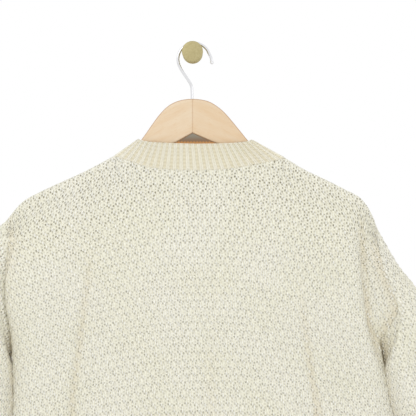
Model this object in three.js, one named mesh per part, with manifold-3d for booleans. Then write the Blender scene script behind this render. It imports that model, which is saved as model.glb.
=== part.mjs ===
// A chunky knitted cardigan on a wooden hanger that hangs from a brass wall knob.
// Millimetres, +Z up. The wall is the plane y = 0 and the room lies towards -Y.
// The cardigan's back faces the room, so the wearer's left is at -X.
import * as THREE from 'three';
import Module from 'manifold-3d';
import { mergeVertices } from 'three/addons/utils/BufferGeometryUtils.js';

// ---------------------------------------------------------------- driving sizes
const MID_Y = -38;            // plane of the hook and the hanger, measured from the wall
const WALL = 3;               // thickness of the knitted cloth
const SEAM_GAP = 0.6;         // clear distance between two pieces along a seam
const STRAIGHT_SHARE = 0.5;   // part of the gap that a piece gives up along its edges
const CURVED_SHARE = 0.7;     // the same for the sleeves and neckband, on curved seams
const RIB_PITCH = 8.9;        // one knit and one purl column of the 1x1 rib
const RIB_HEIGHT = 1.7;       // how far a rib stands above the furrow beside it
const FRONT_FLATNESS = 0.8;   // the fronts hang this much flatter than the back
const SHOULDER_STEPS = 10;    // columns of cloth from the sleeve seam to the neck
// Columns from the neck end to the centre line, close together over the ridge
const NECK_SHARES = [0.045, 0.09, 0.2, 0.44, 0.72, 1];
const NECK_STEPS = NECK_SHARES.length;
const NECK_START = 0.62;      // part of a row's length before the columns from the neck end
const NECK_LEAN = 0.06;       // how fast the cloth leans out below the neck seam
const DIP_REACH = 120;        // half the width of the front rows' dip under the neck
const FRONT_MIDDLE = 20;      // the fronts' centre edges stay inside this depth
const FRONT_SETBACK = 2;      // and lie this much flatter than the back's centre
const SIDE_EDGE = 3;          // below the underarm the fronts turn this far in from the
const SIDE_CREST = 22;        // side seam and are full this far in
const WELT_DEPTH = 70;        // ribbed hem
const WELT_DRAW = 0.95;       // the rib pulls the hem in to this part of its width
const WELT_FLATTEN = 0.85;    // and to this part of its depth
const CUFF_DEPTH = 70;        // ribbed cuff
const CUFF_STEEPNESS = 68;    // fall of the cuff against the last sleeve section's lean
const SLEEVE_FILL = 0.6;      // how far the first sleeve section has filled out
const OUTER_ROUNDNESS = 0.8;  // a sleeve is full towards its outer fold
const INNER_ROUNDNESS = 1.25; // and thin towards its inner one
const CREASE_ANGLE = 1.45;    // where the crease runs down the sleeve's back face, in radians
const CREASE_SPREAD = 0.32;
const BAND_WIDTH = 34;        // button band
const UNDER_BAND_WIDTH = 28;
const BAND_RISE = 5;          // the buttoned band lies this far above the one below it
const HALF_BAND = 17;         // half the gap between the two fronts
const BUTTON_COUNT = 6;
const BUTTON_RADIUS = 11;
const BUTTON_THICKNESS = 4.6;
const BUTTON_WELL = 1.6;      // depth of the dish in a button's face
const BUTTON_SEAT = 0.3;      // between a button and the ribs under it
const TOP_BUTTON = 20;        // first button below the band's top
const LOW_BUTTON = 36;        // last button above the band's foot
const BOARD = 14;             // thickness of the hanger's board
const BOARD_ROUND = 4;        // rounding of the board's edges
const WIRE_RADIUS = 2;
const BORE_CLEARANCE = 0.3;   // around the wire where it enters the wood
const BORE_DEPTH = 14;
const BORE_TOOL = 40;         // length of the drill, well out of the wood
const KNOB_RADIUS = 14.3;
const KNOB_NECK = 9.5;
const KNOB_REACH = 50;
const KNOB_FLANGE = 13.8;
const KNOB_BEVEL = 1;

const CREAM = { color: 0xe5e3d1, roughness: 0.95, metalness: 0 };
const RIB_CREAM = { color: 0xe4ddc5, roughness: 0.95, metalness: 0 };
const HORN = { color: 0x8a6a48, roughness: 0.45, metalness: 0 };
const BEECH = { color: 0xe9d3b0, roughness: 0.55, metalness: 0 };
const CHROME = { color: 0xd8d8d6, roughness: 0.2, metalness: 1 };
const BRASS = { color: 0xc5b882, roughness: 0.35, metalness: 1 };

// ---------------------------------------------------------------- tables
// Cross-section over the hanger's arm: distance out from the mid plane and drop
// below the ridge, at a distance along the cloth.
const RIDGE = [
  { along: 0, out: 0, drop: 0 },
  { along: 5, out: 5, drop: 0.4 },
  { along: 9, out: 8, drop: 2.7 },
  { along: 13, out: 9.5, drop: 6.6 },
  { along: 20.5, out: 10.6, drop: 14 },
];

// Rows of the body below the shoulders. z is at the centre line, dip is how much lower a
// row runs under the front of the neck, sag is how fast it falls towards the sides,
// middle and fold are the distances out of the centre strip and of the long soft fold
// beside it. Rows down to "underarm" end on the sleeve seam.
const LEVELS = [
  { name: 'blade', steps: 1, z: -206, dip: 36, centre: 7, sag: 0.0009, middle: 13, fold: 13.5, foldAt: 128 },
  { name: 'upper', steps: 1, z: -246, dip: 12, centre: 8, sag: 0.0009, middle: 17, fold: 17, foldAt: 136 },
  { name: 'chest', steps: 2, z: -290, dip: 0, centre: 9, sag: 0.0009, middle: 20, fold: 19, foldAt: 142 },
  { name: 'lower', steps: 1, z: -326, dip: 0, centre: 10, sag: 0.00085, middle: 22, fold: 20, foldAt: 146 },
  { name: 'underarm', steps: 2, z: -360, dip: 0, centre: 12, sag: 0.0008, middle: 23, fold: 20, foldAt: 150 },
  { name: 'waist', steps: 1, z: -420, dip: 0, centre: 17, sag: 0.0007, middle: 24, fold: 20, foldAt: 154 },
  { name: 'hip', steps: 1, z: -500, dip: 0, centre: 21, sag: 0.0006, middle: 25, fold: 19, foldAt: 158 },
  { name: 'low hip', steps: 1, z: -606, dip: 0, centre: 25, sag: 0.0005, middle: 25, fold: 20, foldAt: 160 },
  { name: 'hem', steps: 1, z: -712, dip: 0, centre: 27, sag: 0.0004, middle: 24, fold: 21, foldAt: 160 },
];
const UNDERARM_LEVEL = 4;

// Each side's roll of cloth beside the sleeve or side seam, one row for each level.
const SIDE_RIGHT = [
  { crest: 204, crestOut: 17, edge: 232, edgeOut: 11, seam: 254, seamZ: -272, seamOut: 13 },
  { crest: 210, crestOut: 23, edge: 236, edgeOut: 9, seam: 262, seamZ: -302, seamOut: 16 },
  { crest: 214, crestOut: 27, edge: 240, edgeOut: 9, seam: 279, seamZ: -346, seamOut: 18 },
  { crest: 220, crestOut: 29, edge: 245, edgeOut: 11, seam: 264, seamZ: -379, seamOut: 9 },
  { crest: 228, crestOut: 29, edge: 255, edgeOut: 12, seam: 249, seamZ: -405, seamOut: 0 },
  { crest: 243, crestOut: 28, edge: 269, edgeOut: 11, seam: 264, seamZ: -472, seamOut: 0 },
  { crest: 258, crestOut: 28, edge: 285, edgeOut: 11, seam: 277, seamZ: -546, seamOut: 0 },
  { crest: 262, crestOut: 28, edge: 290, edgeOut: 11, seam: 282, seamZ: -644, seamOut: 0 },
  { crest: 258, crestOut: 25, edge: 286, edgeOut: 10, seam: 278, seamZ: -742, seamOut: 0 },
];
const SIDE_LEFT = [
  { crest: -216, crestOut: 17, edge: -239, edgeOut: 14, seam: -250, seamZ: -256, seamOut: 12 },
  { crest: -228, crestOut: 23, edge: -250, edgeOut: 15, seam: -252, seamZ: -292, seamOut: 7 },
  { crest: -230, crestOut: 27, edge: -251, edgeOut: 15, seam: -250, seamZ: -335, seamOut: 5.5 },
  { crest: -222, crestOut: 28, edge: -245, edgeOut: 14, seam: -246, seamZ: -371, seamOut: 5 },
  { crest: -217, crestOut: 28, edge: -243, edgeOut: 12, seam: -240, seamZ: -402, seamOut: 0 },
  { crest: -217, crestOut: 28, edge: -243, edgeOut: 11, seam: -239, seamZ: -462, seamOut: 0 },
  { crest: -220, crestOut: 28, edge: -249, edgeOut: 11, seam: -244, seamZ: -538, seamOut: 0 },
  { crest: -224, crestOut: 28, edge: -252, edgeOut: 11, seam: -247, seamZ: -636, seamOut: 0 },
  { crest: -222, crestOut: 25, edge: -250, edgeOut: 10, seam: -245, seamZ: -736, seamOut: 0 },
];

// Shoulder seam from the sleeve seam to the neck, on the ridge over the hanger's arm.
const SHOULDER_RIGHT = [
  { x: 251, z: -243 }, { x: 239, z: -215 }, { x: 227, z: -199.5 }, { x: 206, z: -188 },
  { x: 173, z: -171.5 }, { x: 152, z: -161.5 }, { x: 124, z: -144.5 },
];
const SHOULDER_LEFT = [
  { x: -251, z: -229.5 }, { x: -240, z: -215.5 }, { x: -228, z: -203.5 }, { x: -207, z: -192 },
  { x: -175, z: -177 }, { x: -142, z: -162 }, { x: -105, z: -142 },
];

// Neck seam from the shoulder to the centre line, and the free edge of the neckband.
const NECK = {
  back: {
    left: {
      seam: [
        { x: -105, z: -142, out: 0 }, { x: -102, z: -142.8, out: 6.5 }, { x: -96, z: -144.5, out: 9.8 },
        { x: -84, z: -148, out: 10.6 }, { x: -66, z: -154.5, out: 10.8 }, { x: -38, z: -158.8, out: 11 },
        { x: 8, z: -160.5, out: 11 },
      ],
      top: [
        { x: -72, z: -117, out: 0 }, { x: -70, z: -118.4, out: 6.5 }, { x: -66, z: -120, out: 9.5 },
        { x: -52, z: -122.3, out: 10 }, { x: -32, z: -124, out: 10 }, { x: 4, z: -125, out: 10 },
      ],
    },
    right: {
      seam: [
        { x: 124, z: -144.5, out: 0 }, { x: 121, z: -145.6, out: 6.5 }, { x: 114, z: -147.2, out: 9.8 },
        { x: 99, z: -149.8, out: 10.6 }, { x: 74, z: -154.5, out: 10.8 }, { x: 45, z: -158.8, out: 11 },
        { x: 8, z: -160.5, out: 11 },
      ],
      top: [
        { x: 79, z: -118.5, out: 0 }, { x: 77, z: -120, out: 6.5 }, { x: 72, z: -121.6, out: 9.5 },
        { x: 60, z: -123, out: 10 }, { x: 38, z: -124.5, out: 10 }, { x: 4, z: -125, out: 10 },
      ],
    },
  },
  front: {
    left: {
      seam: [
        { x: -105, z: -142, out: 0 }, { x: -102.5, z: -143.2, out: 6.3 }, { x: -97.5, z: -146.6, out: 9.4 },
        { x: -92, z: -156, out: 10.5 }, { x: -84, z: -171, out: 10.7 }, { x: -68, z: -188, out: 11 },
        { x: -42, z: -200, out: 12 }, { x: -11, z: -204, out: 13 },
      ],
      top: [
        { x: -72, z: -117, out: 0 }, { x: -70.5, z: -118.2, out: 6.3 }, { x: -67.5, z: -121, out: 9.4 },
        { x: -63, z: -131, out: 10.3 }, { x: -56, z: -144, out: 10.6 }, { x: -41, z: -158.5, out: 11 },
        { x: -25, z: -166.5, out: 12 }, { x: -11, z: -170, out: 13 },
      ],
    },
    right: {
      seam: [
        { x: 124, z: -144.5, out: 0 }, { x: 121.5, z: -145.8, out: 6.3 }, { x: 116.5, z: -149.2, out: 9.4 },
        { x: 110, z: -159, out: 10.5 }, { x: 101, z: -174, out: 10.7 }, { x: 83, z: -191, out: 11 },
        { x: 56, z: -201, out: 12 }, { x: 23, z: -204, out: 13 },
      ],
      top: [
        { x: 79, z: -118.5, out: 0 }, { x: 77.5, z: -119.7, out: 6.3 }, { x: 74.5, z: -122.5, out: 9.4 },
        { x: 70, z: -132, out: 10.3 }, { x: 63, z: -145, out: 10.6 }, { x: 50, z: -159, out: 11 },
        { x: 36, z: -166.5, out: 12 }, { x: 23, z: -170, out: 13 },
      ],
    },
  },
};
const NECK_RIBS = { front: 13, back: 13 };

// Sleeve sections from the sleeve seam to the cuff: the outer and inner fold lines, how
// far the faces bulge, how deep the crease down the back face is, and how far the inner
// fold lies towards the wall.
const SLEEVE_RIGHT = [
  { outX: 279, outZ: -291, inX: 259, inZ: -422, back: 27, front: 24, crease: 2, tuck: 1 },
  { outX: 304, outZ: -323, inX: 263, inZ: -438, back: 36, front: 28, crease: 7, tuck: 4 },
  { outX: 334, outZ: -376, inX: 266.5, inZ: -464, back: 42, front: 29, crease: 12, tuck: 9 },
  { outX: 361, outZ: -440, inX: 274.5, inZ: -500, back: 42, front: 28, crease: 10, tuck: 9 },
  { outX: 384, outZ: -520, inX: 284, inZ: -556, back: 36, front: 26, crease: 6, tuck: 9 },
  { outX: 398, outZ: -600, inX: 290, inZ: -622, back: 31, front: 25, crease: 3, tuck: 6 },
  { outX: 402, outZ: -668, inX: 299, inZ: -678, back: 28, front: 25, crease: 0, tuck: 3 },
];
const SLEEVE_LEFT = [
  { outX: -277, outZ: -253, inX: -248, inZ: -418, back: 17, front: 20, crease: 1, tuck: 1 },
  { outX: -300, outZ: -282, inX: -250, inZ: -436, back: 30, front: 27, crease: 4, tuck: 4 },
  { outX: -326, outZ: -330, inX: -249.5, inZ: -464, back: 40, front: 29, crease: 9, tuck: 9 },
  { outX: -345, outZ: -400, inX: -251, inZ: -506, back: 41, front: 28, crease: 10, tuck: 10 },
  { outX: -355, outZ: -488, inX: -254, inZ: -565, back: 36, front: 26, crease: 6, tuck: 10 },
  { outX: -359, outZ: -580, inX: -256.5, inZ: -628, back: 31, front: 25, crease: 3, tuck: 8 },
  { outX: -358, outZ: -662, inX: -262, inZ: -682, back: 28, front: 25, crease: 0, tuck: 4 },
];
const CUFF_ROWS = [
  { down: 16, width: 0.86 },
  { down: CUFF_DEPTH, width: 0.84 },
];

// Hanger board: upper edge from end to end and lower edge back again.
const BOARD_TOP = [
  [-222, -211], [-213, -200.6], [-190, -188.8], [-152, -170.8], [-124, -156.6], [-104, -147.5], [-84, -134],
  [-72, -122.6], [-64, -112], [-55, -99], [-44, -84.4], [-33, -73.6], [-22, -67.6],
  [-11, -64.8], [0, -64], [11, -64.8], [22, -67.4], [33, -73.6], [43.5, -82.4], [54, -94.4],
  [65, -107.8], [76, -121], [88, -131], [104, -140], [124, -149.2], [152, -165.2],
  [190, -183.6], [213, -195.2], [222, -205],
];
const BOARD_BOTTOM = [
  [222.5, -213], [216, -219], [152, -189], [100, -163.5], [60, -141], [34, -125.4], [0, -110.5],
  [-23, -123.6], [-60, -145], [-100, -168], [-152, -194], [-216, -225], [-222.5, -219],
];

// Hook: a ring round the knob's neck, then a swan neck down to the stem.
const RING_RADIUS = 22;
const RING_CENTRE = { x: 2.2, z: -9.9 };
const HOOK_TIP = [[26.4, -15.6], [25.6, -9]];
const SWAN_NECK = [[-12.4, -28.6], [-6, -38], [-1.6, -46], [-0.7, -54]];

// ---------------------------------------------------------------- cloth tools
const at = (x, out, z) => new THREE.Vector3(x, MID_Y + out, z);
const between = (a, b, t) => a + (b - a) * t;

const smooth = (points) => new THREE.CatmullRomCurve3(points, false, 'centripetal');

// A smooth curve through points, sampled at even lengths
function spread(points, steps) {
  return smooth(points).getSpacedPoints(steps);
}

// One value of the ridge table at a distance along the cloth
function ridgeAt(along, column) {
  const next = Math.max(1, RIDGE.findIndex((row) => row.along >= along));
  const [low, high] = [RIDGE[next - 1], RIDGE[next]];
  return between(low[column], high[column], (along - low.along) / (high.along - low.along));
}

// Point number i + t of a list, on a smooth curve through the list
function smoothAt(list, i, t) {
  const [a, b, c, d] = [-1, 0, 1, 2].map((k) => list[THREE.MathUtils.clamp(i + k, 0, list.length - 1)]);
  const blend = (p, q, r, s) => 0.5 * (2 * q + (r - p) * t
    + (2 * p - 5 * q + 4 * r - s) * t * t + (3 * q - p - 3 * r + s) * t * t * t);
  return new THREE.Vector3(blend(a.x, b.x, c.x, d.x), blend(a.y, b.y, c.y, d.y), blend(a.z, b.z, c.z, d.z));
}

// A sheet of cloth: rows of points on its middle surface, with the outward normals.
// Columns run from one side seam to the other, or right round a tube.
class Sheet {
  constructor(rows, { closed = false, turned = false } = {}) {
    this.rows = rows;
    this.closed = closed;
    this.turned = turned;
    this.normals = rows.map((row, k) => row.map((point, j) => this.normalAt(k, j)));
  }

  neighbour(k, j, dk, dj) {
    const columns = this.rows[0].length;
    const column = this.closed ? (j + dj + columns) % columns : THREE.MathUtils.clamp(j + dj, 0, columns - 1);
    return this.rows[THREE.MathUtils.clamp(k + dk, 0, this.rows.length - 1)][column];
  }

  normalAt(k, j) {
    const across = this.neighbour(k, j, 0, 1).clone().sub(this.neighbour(k, j, 0, -1));
    const down = this.neighbour(k, j, 1, 0).clone().sub(this.neighbour(k, j, -1, 0));
    return across.cross(down).normalize().multiplyScalar(this.turned ? -1 : 1);
  }

  // Draws the edges back along the cloth, square to each edge
  drawBack(distance) {
    const lastRow = this.rows.length - 1;
    const lastColumn = this.rows[0].length - 1;
    const hand = this.turned ? -1 : 1;
    const moves = [];
    this.rows.forEach((row, k) => row.forEach((point, j) => {
      const normal = this.normals[k][j];
      const square = (from, to, sign) => {
        const step = normal.clone().cross(to.clone().sub(from)).setLength(distance * sign * hand);
        moves.push([point, step]);
      };
      if (k === 0) square(this.neighbour(k, j, 0, -1), this.neighbour(k, j, 0, 1), 1);
      if (k === lastRow) square(this.neighbour(k, j, 0, -1), this.neighbour(k, j, 0, 1), -1);
      if (!this.closed && j === 0) square(this.neighbour(k, j, -1, 0), this.neighbour(k, j, 1, 0), -1);
      if (!this.closed && j === lastColumn) {
        square(this.neighbour(k, j, -1, 0), this.neighbour(k, j, 1, 0), 1);
      }
    }));
    for (const [point, step] of moves) point.add(step);
  }

  // The closed wall: the sheet moved out and in by half its thickness, with its rims.
  // lift raises the outer points, by row and column.
  wall(thickness, lift = () => 0) {
    const columns = this.rows[0].length;
    const inside = this.rows.length * columns;
    const positions = new Float32Array(inside * 6);
    this.rows.forEach((row, k) => row.forEach((point, j) => {
      const normal = this.normals[k][j];
      const index = k * columns + j;
      point.clone().addScaledVector(normal, thickness / 2 + lift(k, j)).toArray(positions, index * 3);
      point.clone().addScaledVector(normal, -thickness / 2).toArray(positions, (inside + index) * 3);
    }));
    const faces = [];
    const quad = (a, b, c, d) => {
      faces.push(...(this.turned ? [a, c, b, a, d, c] : [a, b, c, a, c, d]));
    };
    const spans = this.closed ? columns : columns - 1;
    const lastRow = this.rows.length - 1;
    const place = (k, j) => k * columns + (j % columns);
    for (let k = 0; k < lastRow; k += 1) {
      for (let j = 0; j < spans; j += 1) {
        const [a, b, c, d] = [place(k, j), place(k, j + 1), place(k + 1, j + 1), place(k + 1, j)];
        quad(a, b, c, d);
        quad(d + inside, c + inside, b + inside, a + inside);
      }
    }
    const rim = (a, b) => quad(b, a, a + inside, b + inside);
    for (let j = 0; j < spans; j += 1) {
      rim(place(0, j), place(0, j + 1));
      rim(place(lastRow, j + 1), place(lastRow, j));
    }
    if (!this.closed) {
      for (let k = 0; k < lastRow; k += 1) {
        rim(place(k + 1, 0), place(k, 0));
        rim(place(k, columns - 1), place(k + 1, columns - 1));
      }
    }
    const geometry = new THREE.BufferGeometry();
    geometry.setAttribute('position', new THREE.BufferAttribute(positions, 3));
    geometry.setIndex(faces);
    geometry.computeVertexNormals();
    return geometry;
  }

  // An edge row or column as points with their normals
  row(k) {
    return this.rows[k].map((point, j) => ({ point: point.clone(), normal: this.normals[k][j].clone() }));
  }

  column(j) {
    const place = (j + this.rows[0].length) % this.rows[0].length;
    return this.rows.map((row, k) => ({ point: row[place].clone(), normal: this.normals[k][place].clone() }));
  }
}

// Pieces that meet along a seam lean the same way there, so that their rims are parallel.
// Pieces that already lean the same way count once.
function shareNormals(sheets) {
  const found = new Map();
  const key = (point) => point.toArray().map((value) => value.toFixed(2)).join(' ');
  const visitRow = (action, sheet, row, k) => row.forEach((point, j) => action(sheet, k, j, key(point)));
  const visit = (action) => sheets.forEach((sheet) => {
    sheet.rows.forEach((row, k) => visitRow(action, sheet, row, k));
  });
  visit((sheet, k, j, name) => {
    const list = found.get(name) ?? [];
    const normal = sheet.normals[k][j].clone();
    if (!list.some((other) => other.distanceTo(normal) < 1e-5)) list.push(normal);
    found.set(name, list);
  });
  visit((sheet, k, j, name) => {
    const sum = found.get(name).reduce((total, normal) => total.add(normal), new THREE.Vector3());
    sheet.normals[k][j].copy(sum.normalize());
  });
}

// An edge sampled again at even lengths, normals included
function resample(edge, steps) {
  const lengths = [0];
  for (let i = 1; i < edge.length; i += 1) {
    lengths.push(lengths[i - 1] + edge[i].point.distanceTo(edge[i - 1].point));
  }
  const samples = [];
  for (let i = 0; i <= steps; i += 1) {
    const target = (lengths.at(-1) * i) / steps;
    const found = lengths.findIndex((length) => length >= target - 1e-6);
    const next = THREE.MathUtils.clamp(found, 1, edge.length - 1);
    const t = (target - lengths[next - 1]) / (lengths[next] - lengths[next - 1]);
    samples.push({
      point: edge[next - 1].point.clone().lerp(edge[next].point, t),
      normal: edge[next - 1].normal.clone().lerp(edge[next].normal, t).normalize(),
    });
  }
  return samples;
}

function edgeLength(edge) {
  return edge.slice(1).reduce((sum, sample, i) => sum + sample.point.distanceTo(edge[i].point), 0);
}

// Every second column of a ribbed piece stands up
const ribbed = (k, j) => (j % 2 ? RIB_HEIGHT : 0);

// ---------------------------------------------------------------- body panels
const SIDES = {
  left: { hand: -1, roll: SIDE_LEFT, shoulder: SHOULDER_LEFT, sleeve: SLEEVE_LEFT },
  right: { hand: 1, roll: SIDE_RIGHT, shoulder: SHOULDER_RIGHT, sleeve: SLEEVE_RIGHT },
};
const FACES = {
  back: { way: -1, flatness: 1 },
  front: { way: 1, flatness: FRONT_FLATNESS },
};

// The first rows: over the ridge on the shoulder, straight down from the neck seam
function topRows(sideName, faceName) {
  const { way } = FACES[faceName];
  const { shoulder } = SIDES[sideName];
  const seam = spread(shoulder.map(({ x, z }) => at(x, 0, z)), SHOULDER_STEPS);
  const neck = smooth(NECK[faceName][sideName].seam.map(({ x, z, out }) => at(x, way * out, z)));
  const first = [...seam, ...NECK_SHARES.map((share) => neck.getPointAt(share))];
  return RIDGE.map(({ along }) => first.map((point) => {
    const neckPart = Math.min(1, Math.abs(point.y - MID_Y) / RIDGE.at(-1).out);
    const out = ridgeAt(along, 'out') * (1 - neckPart) + along * NECK_LEAN * neckPart;
    const drop = ridgeAt(along, 'drop') * (1 - neckPart) + along * neckPart;
    return point.clone().add(new THREE.Vector3(0, way * out, -drop));
  }));
}

// Where the columns stand along a row, from the seam at the side to the centre
const COLUMN_SHARES = [
  ...Array.from({ length: SHOULDER_STEPS + 1 }, (unused, j) => (NECK_START * j) / SHOULDER_STEPS),
  ...NECK_SHARES.map((share) => between(NECK_START, 1, share)),
];

// A row of the body at one level, from the seam at the side to the centre
function levelRow(sideName, faceName, index) {
  const level = LEVELS[index];
  const roll = SIDES[sideName].roll[index];
  const { hand } = SIDES[sideName];
  const { way, flatness } = FACES[faceName];
  const centre = faceName === 'back' ? level.centre : level.centre + hand * HALF_BAND;
  const dip = faceName === 'front' ? level.dip : 0;
  const height = (x) => level.z - level.sag * (x - level.centre) ** 2
    - dip * (1 - THREE.MathUtils.smoothstep(Math.abs(x - level.centre), 0, DIP_REACH));
  const free = index >= UNDERARM_LEVEL;
  const edge = free && faceName === 'front' ? roll.seam - hand * SIDE_EDGE : roll.edge;
  const crest = free && faceName === 'front' ? roll.seam - hand * SIDE_CREST : roll.crest;
  const half = level.centre + (hand * level.foldAt) / 2;
  const foldX = level.centre + hand * level.foldAt;
  const middleOut = faceName === 'back' ? level.middle : Math.min(level.middle, FRONT_MIDDLE) - FRONT_SETBACK;
  const row = smooth([
    at(roll.seam, way * roll.seamOut, roll.seamZ),
    at(edge, way * roll.edgeOut * flatness, (height(edge) + roll.seamZ) / 2),
    at(crest, way * roll.crestOut * flatness, height(crest)),
    at(foldX, way * level.fold * flatness, height(foldX)),
    at(half, way * (middleOut + 1) * flatness, height(half)),
    at(centre, way * middleOut * flatness, height(centre)),
  ]);
  return COLUMN_SHARES.map((share) => row.getPointAt(share));
}

// Half a panel, from the seam at the side to the centre
function halfPanel(sideName, faceName) {
  const top = topRows(sideName, faceName);
  const keyRows = [top.at(-1), ...LEVELS.map((level, index) => levelRow(sideName, faceName, index))];
  const rows = top.slice(0, -1);
  LEVELS.forEach((level, index) => {
    for (let step = 0; step < level.steps; step += 1) {
      const share = step / level.steps;
      rows.push(keyRows[0].map((point, j) => smoothAt(keyRows.map((row) => row[j]), index, share)));
    }
  });
  rows.push(keyRows.at(-1));
  return rows;
}

const LEVEL_ROWS = LEVELS.slice(0, UNDERARM_LEVEL + 1).reduce((sum, level) => sum + level.steps, 0);
const ARMHOLE_ROWS = RIDGE.length - 1 + LEVEL_ROWS;

function backPanel() {
  const left = halfPanel('left', 'back');
  const right = halfPanel('right', 'back');
  const rows = left.map((row, k) => {
    const other = right[k].toReversed();
    return [...row.slice(0, -1), row.at(-1).clone().lerp(other[0], 0.5), ...other.slice(1)];
  });
  return new Sheet(rows, { turned: true });
}

const back = backPanel();
const frontLeft = new Sheet(halfPanel('left', 'front'));
const frontRight = new Sheet(halfPanel('right', 'front').map((row) => row.toReversed()));

// ---------------------------------------------------------------- sleeves
// The open ring of the armhole, from the shoulder down the back and up the front
function armhole(sideName) {
  const column = sideName === 'left' ? 0 : -1;
  const front = sideName === 'left' ? frontLeft : frontRight;
  const pick = (sheet) => sheet.column(column).slice(0, ARMHOLE_ROWS + 1).map(({ point }) => point);
  const down = pick(back);
  const up = pick(front).toReversed().slice(1, -1);
  return [...down, ...up];
}

// Each ring point's part of the way round, 0 at the shoulder and 1 back at it
function ringFractions(ring) {
  const lengths = [0];
  ring.forEach((point, i) => lengths.push(lengths[i] + point.distanceTo(ring[(i + 1) % ring.length])));
  const half = lengths[ARMHOLE_ROWS];
  const whole = lengths[ring.length];
  return ring.map((point, i) => {
    const down = (0.5 * lengths[i]) / half;
    const up = 0.5 + (0.5 * (lengths[i] - half)) / (whole - half);
    return i <= ARMHOLE_ROWS ? down : up;
  });
}

function sleeveSection(section, fractions) {
  const outer = at(section.outX, 0, section.outZ);
  const inner = at(section.inX, 0, section.inZ);
  const middle = outer.clone().add(inner).multiplyScalar(0.5);
  const reach = outer.clone().sub(middle);
  return fractions.map((fraction) => {
    const angle = fraction * 2 * Math.PI;
    const onBack = angle <= Math.PI;
    const roundness = Math.cos(angle) < 0 ? INNER_ROUNDNESS : OUTER_ROUNDNESS;
    const bulge = Math.abs(Math.sin(angle)) ** roundness * (onBack ? section.back : section.front);
    const offCrease = (angle - CREASE_ANGLE) / CREASE_SPREAD;
    const crease = onBack ? section.crease * Math.exp(-(offCrease ** 2)) : 0;
    const tuck = section.tuck * ((1 - Math.cos(angle)) / 2) ** 2;
    const point = middle.clone().addScaledVector(reach, Math.cos(angle));
    point.y += (onBack ? crease - bulge : bulge) + tuck;
    return point;
  });
}

// The first section keeps the armhole's outline and only starts to fill out
function carryOn(ring, section, fractions) {
  const step = (j) => section[j].clone().sub(ring[j]);
  const outer = step(0);
  const inner = step(ARMHOLE_ROWS);
  section.forEach((point, j) => {
    const share = (1 - Math.cos(fractions[j] * 2 * Math.PI)) / 2;
    const moved = ring[j].clone().add(outer.clone().lerp(inner, share));
    point.set(moved.x, between(ring[j].y, point.y, SLEEVE_FILL), moved.z);
  });
}

function sleeve(sideName) {
  const ring = armhole(sideName);
  const fractions = ringFractions(ring);
  const sections = SIDES[sideName].sleeve.map((section) => sleeveSection(section, fractions));
  carryOn(ring, sections[0], fractions);
  const keyRows = [ring, ...sections];
  const rows = [];
  for (let index = 0; index < keyRows.length - 1; index += 1) {
    const steps = index < 2 ? 1 : 2;
    for (let step = 0; step < steps; step += 1) {
      rows.push(ring.map((point, j) => smoothAt(keyRows.map((row) => row[j]), index, step / steps)));
    }
  }
  rows.push(keyRows.at(-1));
  return new Sheet(rows, { closed: true, turned: sideName === 'left' });
}

const sleeveLeft = sleeve('left');
const sleeveRight = sleeve('right');

shareNormals([back, frontLeft, frontRight]);
shareNormals([back, frontLeft, frontRight, sleeveLeft, sleeveRight]);

// ---------------------------------------------------------------- ribbed pieces
// A ribbed strip that goes on from an edge. place gives row k's point for a sample.
function ribStrip(edge, ribs, rowCount, place, options) {
  const samples = resample(edge, ribs * 2);
  if (options.closed) samples.pop();
  const rows = [];
  for (let k = 0; k < rowCount; k += 1) {
    rows.push(samples.map((sample, j) => (k ? place(sample.point, k, j) : sample.point.clone())));
  }
  const sheet = new Sheet(rows, options);
  sheet.normals[0] = samples.map((sample) => sample.normal);
  return sheet;
}

function welt(panel, turned) {
  const edge = panel.row(panel.rows.length - 1);
  const centre = LEVELS.at(-1).centre;
  return ribStrip(edge, Math.round(edgeLength(edge) / RIB_PITCH), 2, (point) => new THREE.Vector3(
    between(centre, point.x, WELT_DRAW),
    between(MID_Y, point.y, WELT_FLATTEN),
    point.z - WELT_DEPTH,
  ), { turned });
}

function cuff(sleevePiece, sections) {
  const edge = sleevePiece.row(sleevePiece.rows.length - 1);
  edge.push(edge[0]);
  const { outX, outZ, inX, inZ } = sections.at(-1);
  const centre = at((outX + inX) / 2, 0, (outZ + inZ) / 2);
  const flow = new THREE.Vector3(outX - sections.at(-2).outX, 0, -CUFF_STEEPNESS).normalize();
  return ribStrip(edge, Math.round(edgeLength(edge) / RIB_PITCH), CUFF_ROWS.length + 1, (point, k) => {
    const { down, width } = CUFF_ROWS[k - 1];
    return point.clone().sub(centre).multiplyScalar(width).add(centre).addScaledVector(flow, down);
  }, { closed: true, turned: sleevePiece.turned });
}

// The neckband runs from the left front's edge, round the back, to the right front's edge
function neckband() {
  const neckPart = (sheet, from, to) => sheet.row(0).slice(from, to);
  const middle = SHOULDER_STEPS + NECK_STEPS;
  const leftFront = neckPart(frontLeft, SHOULDER_STEPS, undefined).toReversed();
  const leftBack = neckPart(back, SHOULDER_STEPS, middle + 1);
  const rightBack = neckPart(back, middle, middle + NECK_STEPS + 1);
  const rightFront = neckPart(frontRight, 0, NECK_STEPS + 1).toReversed();
  const parts = [
    { edge: leftFront, face: 'front', side: 'left', inward: false },
    { edge: leftBack, face: 'back', side: 'left', inward: true },
    { edge: rightBack, face: 'back', side: 'right', inward: false },
    { edge: rightFront, face: 'front', side: 'right', inward: true },
  ];
  const lower = [];
  const upper = [];
  parts.forEach(({ edge, face, side, inward }, index) => {
    const steps = NECK_RIBS[face] * 2;
    const { way } = FACES[face];
    const top = spread(NECK[face][side].top.map(({ x, z, out }) => at(x, way * out, z)), steps);
    if (!inward) top.reverse();
    const samples = resample(edge, steps);
    lower.push(...(index ? samples.slice(1) : samples));
    upper.push(...(index ? top.slice(1) : top));
  });
  const rows = [0, 0.5, 1].map((t) => lower.map(({ point }, j) => point.clone().lerp(upper[j], t)));
  const sheet = new Sheet(rows, { turned: false });
  sheet.normals[0] = lower.map(({ normal }) => normal);
  return sheet;
}

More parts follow.
